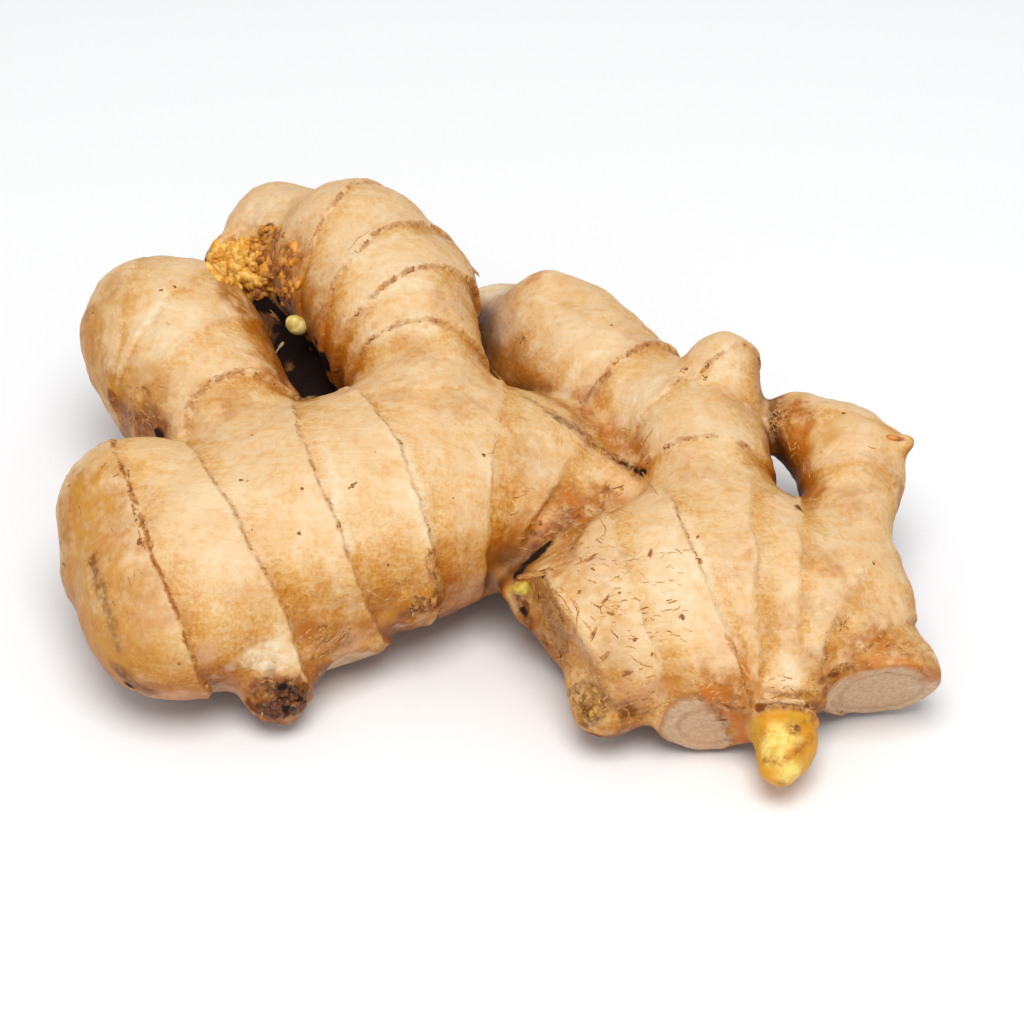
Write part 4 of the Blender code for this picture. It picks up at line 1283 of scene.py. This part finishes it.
# Cracks, nicks and torn edges of the skin: width in mm and places in the photograph
marks = {
    "dark": [
        (0.7, [(590, 556), (583, 562), (572, 566)]), (0.5, [(584, 563), (578, 556)]),
        (0.6, [(606, 600), (600, 608), (592, 603)]), (0.5, [(600, 608), (603, 617)]),
        (0.6, [(521, 331), (525, 340), (524, 350)]), (0.5, [(516, 338), (531, 343)]),
        (0.6, [(837, 617), (843, 625), (851, 630)]), (0.6, [(849, 617), (843, 625), (838, 634)]),
        (0.8, [(348, 489), (359, 481)]), (0.7, [(541, 574), (549, 569), (558, 572)]),
        (0.8, [(529, 584), (537, 576), (546, 572)]), (0.6, [(552, 527), (559, 520), (567, 524)]),
        (0.6, [(559, 537), (569, 530)]), (0.7, [(578, 396), (583, 409), (580, 426)]),
        (0.6, [(641, 447), (646, 440), (654, 427)]), (0.5, [(606, 373), (598, 380), (592, 389)]),
        (0.6, [(257, 685), (267, 679), (277, 683)]), (0.5, [(312, 636), (322, 641), (336, 640)]),
        (0.5, [(325, 650), (336, 643), (345, 634)]), (0.5, [(320, 654), (331, 651), (346, 641)]),
        (0.6, [(768, 708), (778, 705), (792, 707), (806, 709), (817, 706)]),
        (0.5, [(772, 698), (782, 696), (794, 699), (803, 697)]), (0.5, [(790, 688), (799, 695)]),
        (0.7, [(831, 673), (845, 664), (861, 656)]), (0.5, [(862, 650), (875, 643), (889, 640)]),
        (0.5, [(889, 640), (900, 648), (911, 656)]), (0.6, [(918, 668), (929, 678)]),
        (0.6, [(569, 691), (575, 684), (587, 682)]), (0.6, [(619, 705), (630, 713), (626, 723)]),
        (0.6, [(634, 722), (645, 717)]), (0.5, [(611, 700), (622, 706)]),
        (0.6, [(699, 699), (712, 704), (723, 717)]), (0.6, [(546, 590), (555, 604), (562, 620)]),
        (0.5, [(552, 588), (564, 600), (571, 614)]), (0.5, [(542, 604), (550, 622), (558, 641)]),
        (0.6, [(555, 642), (562, 656), (573, 669)]), (0.5, [(572, 600), (578, 612), (576, 627)]),
        (0.5, [(596, 539), (604, 545)]), (0.5, [(625, 561), (641, 558)]), (0.5, [(566, 552), (576, 548)]),
        (0.5, [(588, 579), (599, 585)]), (0.5, [(638, 611), (651, 606)]), (0.5, [(611, 630), (620, 641)]),
        (0.8, [(128, 470), (129, 481)]), (0.8, [(130, 489), (131, 497)]), (0.8, [(132, 504), (136, 518)]),
        (0.9, [(138, 530), (142, 543), (146, 549)]), (0.5, [(143, 538), (152, 541)]),
        (0.6, [(107, 462), (100, 470), (95, 478)]), (0.5, [(113, 478), (121, 472)]),
        (0.8, [(685, 366), (680, 371), (687, 374)]), (0.6, [(701, 375), (708, 379)]),
        (0.6, [(428, 548), (432, 560), (440, 571)]), (0.5, [(436, 566), (441, 582)]),
        (0.5, [(742, 463), (753, 465)]), (0.5, [(808, 412), (816, 416)]), (0.5, [(868, 447), (878, 450)]),
        (0.6, [(596, 499), (603, 508), (600, 517)]), (0.5, [(610, 492), (618, 496), (625, 491)])],
    "golden": [
        (0.9, [(725, 633), (735, 652), (745, 671), (757, 687)]),
        (0.7, [(398, 222), (406, 226), (413, 224)]), (0.7, [(309, 254), (312, 240), (321, 222)]),
        (0.6, [(348, 251), (356, 240), (371, 230)]), (0.7, [(497, 441), (493, 452), (486, 455)]),
        (0.7, [(610, 489), (606, 498), (599, 503)]), (0.7, [(618, 508), (628, 512), (636, 509)]),
        (0.7, [(600, 519), (606, 529), (603, 538)]), (0.6, [(568, 596), (577, 604), (581, 615)]),
        (0.6, [(583, 620), (592, 632), (590, 645)]), (0.6, [(597, 654), (606, 665), (618, 671)]),
        (0.6, [(630, 655), (641, 664), (655, 668)]), (0.7, [(378, 596), (368, 590), (355, 583)]),
        (0.6, [(299, 590), (310, 596), (322, 594)]), (0.6, [(335, 600), (345, 594), (356, 598)]),
        (0.7, [(470, 262), (474, 268), (472, 277)]), (0.6, [(186, 636), (196, 641), (205, 637)]),
        (0.6, [(420, 266), (432, 264), (446, 268)]), (0.6, [(252, 367), (238, 370), (226, 378)]),
        (0.6, [(556, 560), (562, 553), (570, 556)]), (0.6, [(654, 710), (664, 702), (678, 697)]),
        (0.6, [(845, 640), (856, 634), (870, 631)]), (0.6, [(480, 358), (492, 370), (506, 384)]),
        (0.6, [(642, 472), (650, 484), (660, 497)])],
    # short fibres: middle of the area, half width and height, angle, how many
    "fibres": [
        ((598, 566), 40, 56, 170, 70), ((655, 600), 42, 56, 178, 50), ((556, 634), 14, 42, 150, 40),
        ((322, 644), 26, 16, 40, 30), ((600, 436), 44, 20, -60, 50), ((540, 520), 34, 34, 30, 40),
        ((882, 656), 48, 18, 20, 40), ((140, 404), 24, 20, -40, 30), ((612, 690), 38, 22, 10, 40),
        ((724, 690), 34, 14, 30, 30), ((790, 690), 24, 14, 0, 24), ((112, 560), 34, 70, -70, 40),
        ((410, 596), 30, 16, 20, 24), ((798, 470), 12, 30, 80, 12)],
    "elsewhere": 60,        # short ones on the sides that the photograph doesn't show
    "step": 2.0,            # pixels between two points of a mark
    "ridge": 0.1,           # how high a mark's middle stands
    "edge": 0.07,           # how deep its edges lie in the skin
    "thickness": 0.12,
    "seed": 5,
}


def addMark(shape, route, width, chance):
    # A thin ribbon on the skin, ragged at its sides and narrow at its ends
    last = len(route) - 1
    made = bmesh.ops.create_grid(shape, x_segments=last, y_segments=2, size=0.5)
    for vert in made["verts"]:
        t = vert.co.x + 0.5
        number = round(t * last)
        place, facing = route[number]
        along = route[min(number + 1, last)][0] - route[max(number - 1, 0)][0]
        sideways = facing.cross(along).normalized()
        narrow = 0.3 + 0.7 * math.sqrt(math.sin(math.pi * min(max(t, 0), 1)))
        spread = vert.co.y * width * narrow * chance.uniform(0.6, 1.3)
        lift = marks["ridge"] if abs(vert.co.y) < 0.1 else -marks["edge"]
        vert.co = place + sideways * spread + facing * lift
    sheet = list({face for vert in made["verts"] for face in vert.link_faces})
    bmesh.ops.solidify(shape, geom=sheet, thickness=marks["thickness"])


def seenRoute(pixels, chance):
    # Points on the skin along a line drawn in the photograph
    route = []
    for start, end in zip(pixels, pixels[1:]):
        count = max(2, round(math.dist(start, end) / marks["step"]))
        for step in range(count):
            spot = [a + (b - a) * step / count + chance.uniform(-0.6, 0.6)
                    for a, b in zip(start, end)]
            place, facing = seen(spot)
            if place is not None:
                route.append((place, facing))
    return route


def hiddenRoute(chance):
    # A short wandering line somewhere on a side that the photograph doesn't show
    place, facing = hiddenPlace(chance)
    if place is None:
        return []
    along = facing.orthogonal().normalized()
    along.rotate(Matrix.Rotation(chance.uniform(0, math.pi), 3, facing))
    route = []
    for step in range(chance.randint(5, 9)):
        astray = 0.4 * noise.noise_vector(place + along * step)
        near, front, _, _ = surface.find_nearest(place + along * 0.5 * step + astray)
        route.append((near, front))
    return route


def buildMarks():
    chance = random.Random(marks["seed"])
    darkShape = bmesh.new()
    goldenShape = bmesh.new()
    for shape, lines in ((darkShape, marks["dark"]), (goldenShape, marks["golden"])):
        for width, pixels in lines:
            route = seenRoute(pixels, chance)
            if len(route) > 3:
                addMark(shape, route, width, chance)
    for middle, across, down, degrees, count in marks["fibres"]:
        for _ in range(count):
            spot = (middle[0] + across * chance.uniform(-1, 1), middle[1] + down * chance.uniform(-1, 1))
            turn = math.radians(degrees + chance.gauss(0, 22))
            length = chance.uniform(5, 13)
            end = (spot[0] + length * math.cos(turn), spot[1] - length * math.sin(turn))
            route = seenRoute([spot, end], chance)
            if len(route) > 2:
                shape = darkShape if chance.random() < 0.1 else goldenShape
                addMark(shape, route, chance.uniform(0.3, 0.55), chance)
    made = 0
    while made < marks["elsewhere"]:
        route = hiddenRoute(chance)
        if route:
            addMark(goldenShape if made % 2 else darkShape, route, chance.uniform(0.4, 0.8), chance)
            made += 1
    for shape in (darkShape, goldenShape):
        bmesh.ops.recalc_face_normals(shape, faces=shape.faces[:])
    burnt = plainMaterial("dried crack", srgb(198, 142, 80), srgb(154, 100, 46), 0.8, 0.85)
    finishPiece("skin_cracks", darkShape, burnt)
    straw = plainMaterial("torn edge", srgb(218, 166, 102), srgb(192, 134, 70), 1.0, 0.75)
    finishPiece("skin_edges", goldenShape, straw)


buildMarks()
print("skin marks done")


# Small buds: root in the photograph, angle there, how far it leans out of the picture,
# length, radius, how pointed, and its two colours
buds = {
    "small_bud": ((302, 326), 118, 0.9, 5.0, 2.1, 0.15, srgb(240, 222, 140), srgb(214, 180, 84)),
    "green_bud": ((526, 588), 184, 0.1, 5.0, 1.7, 0.8, srgb(226, 200, 84), srgb(182, 148, 44)),
    "point_bud": ((890, 438), -2, 0.0, 4.2, 0.8, 0.8, srgb(214, 140, 56), srgb(170, 100, 34)),
}


def addBud(shape, place, way, length, radius, pointed):
    # A closed bud with two overlapping scales, blunt or pointed
    turn = way.to_track_quat("Z", "Y").to_matrix().to_4x4()
    made = bmesh.ops.create_icosphere(shape, subdivisions=4, radius=1.0)
    for vert in made["verts"]:
        t = (vert.co.z + 1) / 2
        spin = math.atan2(vert.co.y, vert.co.x)
        narrow = 1 - pointed * t ** 1.4
        scale = 0.09 * (1 if math.sin(spin + 5 * t) > 0 else 0)
        vert.co.x *= radius * (narrow + scale)
        vert.co.y *= radius * (narrow + scale)
        vert.co.z = (t - 0.25) * length
        vert.co += 0.1 * noise.noise_vector(vert.co * 0.9)
    bmesh.ops.smooth_vert(shape, verts=made["verts"], factor=0.5, use_axis_x=True,
                          use_axis_y=True, use_axis_z=True)
    bmesh.ops.transform(shape, verts=made["verts"], matrix=Matrix.Translation(place) @ turn)


def buildBuds():
    for name, (pixel, degrees, lean, length, radius, pointed, first, second) in buds.items():
        place, facing = seen(pixel)
        turn = math.radians(degrees)
        way = Vector((1, 0, 0)) * math.cos(turn) + Vector(lookUp) * math.sin(turn) + facing * lean
        shape = bmesh.new()
        addBud(shape, place, way.normalized(), length, radius, pointed)
        finishPiece(name, shape, plainMaterial(name.replace("_", " "), first, second, 2.2, 0.5))


buildBuds()
print("buds done")


# Crumbs of bark on the crusty bud, and smaller ones on the brown bud, the knob and the old
# bud scar: middle in the photograph, half width and half height there, angle, how many,
# radius in mm, two colours
crustSeed = 12
crusts = {
    "bark_crumbs": ((239, 265), 34, 21, -16, 160, (0.7, 2.0),
                    srgb(255, 206, 100), srgb(224, 148, 36)),
    "brown_crumbs": ((273, 266), 27, 40, 10, 120, (0.5, 1.7),
                     srgb(236, 160, 56), srgb(154, 86, 16)),
    "burnt_crumbs": ((282, 701), 25, 13, 8, 16, (0.5, 1.2), srgb(112, 54, 10), srgb(40, 15, 4)),
    "knob_crumbs": ((414, 605), 14, 9, 10, 22, (0.4, 1.0), srgb(196, 134, 58), srgb(116, 62, 20)),
    "scar_crumbs": ((588, 704), 16, 17, 0, 26, (0.4, 1.0), srgb(198, 146, 62), srgb(134, 84, 28)),
}


def addCrumb(shape, place, facing, radius, chance):
    # A small rough lump, half sunk in the skin
    turn = facing.to_track_quat("Z", "Y").to_matrix().to_4x4()
    spin = Matrix.Rotation(chance.uniform(0, math.pi), 4, "Z")
    size = Matrix.Diagonal((radius, radius * chance.uniform(0.5, 1.0),
                            radius * chance.uniform(0.45, 0.85), 1))
    sunk = Matrix.Translation(place - facing * radius * 0.2)
    made = bmesh.ops.create_icosphere(shape, subdivisions=2, radius=1.0,
                                      matrix=sunk @ turn @ spin @ size)
    for vert in made["verts"]:
        vert.co += 0.38 * radius * noise.noise_vector(vert.co * 1.1 / radius)
        vert.co += 0.15 * noise.noise_vector(vert.co * 2.0)


def buildCrusts():
    chance = random.Random(crustSeed)
    for name, (middle, across, down, degrees, count, radii, first, second) in crusts.items():
        shape = bmesh.new()
        turn = math.radians(degrees)
        for _ in range(count):
            angle = chance.uniform(0, 2 * math.pi)
            reach = math.sqrt(chance.random())
            flat = (across * reach * math.cos(angle), down * reach * math.sin(angle))
            pixel = (middle[0] + flat[0] * math.cos(turn) + flat[1] * math.sin(turn),
                     middle[1] - flat[0] * math.sin(turn) + flat[1] * math.cos(turn))
            place, facing = seen(pixel)
            if place is not None:
                addCrumb(shape, place, facing, chance.uniform(*radii), chance)
        finishPiece(name, shape, plainMaterial(name.replace("_", " "), first, second, 3.0, 0.5))


buildCrusts()
print("crusts done")


# Floor, light and camera
studio = {
    "floor": srgb(253, 254, 255),
    "floorSize": 4.0,
    "floorRoughness": 0.9,
    "sky": 0.53,                        # strength of the white light from all round
    "keyPlace": (0.02, -0.38, 0.92),    # the round lamp, in metres
    "keySize": 0.6,
    "keyPower": 6.5,                    # watts
}


def buildStudio():
    shape = bmesh.new()
    bmesh.ops.create_grid(shape, x_segments=1, y_segments=1, size=studio["floorSize"])
    mesh = bpy.data.meshes.new("floor")
    shape.to_mesh(mesh)
    shape.free()
    material = bpy.data.materials.new("pale floor")
    material.use_nodes = True
    shader = material.node_tree.nodes["Principled BSDF"]
    shader.inputs["Base Color"].default_value = studio["floor"]
    shader.inputs["Roughness"].default_value = studio["floorRoughness"]
    mesh.materials.append(material)
    floor = bpy.data.objects.new("floor", mesh)
    bpy.context.scene.collection.objects.link(floor)

    world = bpy.data.worlds.new("studio")
    world.use_nodes = True
    sky = world.node_tree.nodes["Background"]
    sky.inputs["Color"].default_value = (1, 1, 1, 1)
    sky.inputs["Strength"].default_value = studio["sky"]
    bpy.context.scene.world = world

    lamp = bpy.data.lights.new("key", "AREA")
    lamp.shape = "DISK"
    lamp.size = studio["keySize"]
    lamp.energy = studio["keyPower"]
    key = bpy.data.objects.new("key", lamp)
    key.location = studio["keyPlace"]
    aim = Vector(view["target"]) / metre - key.location
    key.rotation_euler = aim.to_track_quat("-Z", "Y").to_euler()
    bpy.context.scene.collection.objects.link(key)


def buildCamera():
    lens = bpy.data.cameras.new("camera")
    lens.sensor_width = view["sensor"]
    shown = view["pixel"] * view["imageWidth"]
    lens.lens = view["sensor"] * view["distance"] / shown
    camera = bpy.data.objects.new("camera", lens)
    camera.location = Vector(eye) / metre
    camera.rotation_euler = (math.radians(90 - view["elevation"]), 0, 0)
    bpy.context.scene.collection.objects.link(camera)
    bpy.context.scene.camera = camera


bpy.context.scene.view_settings.view_transform = "Standard"
buildStudio()
buildCamera()
print("studio ready")
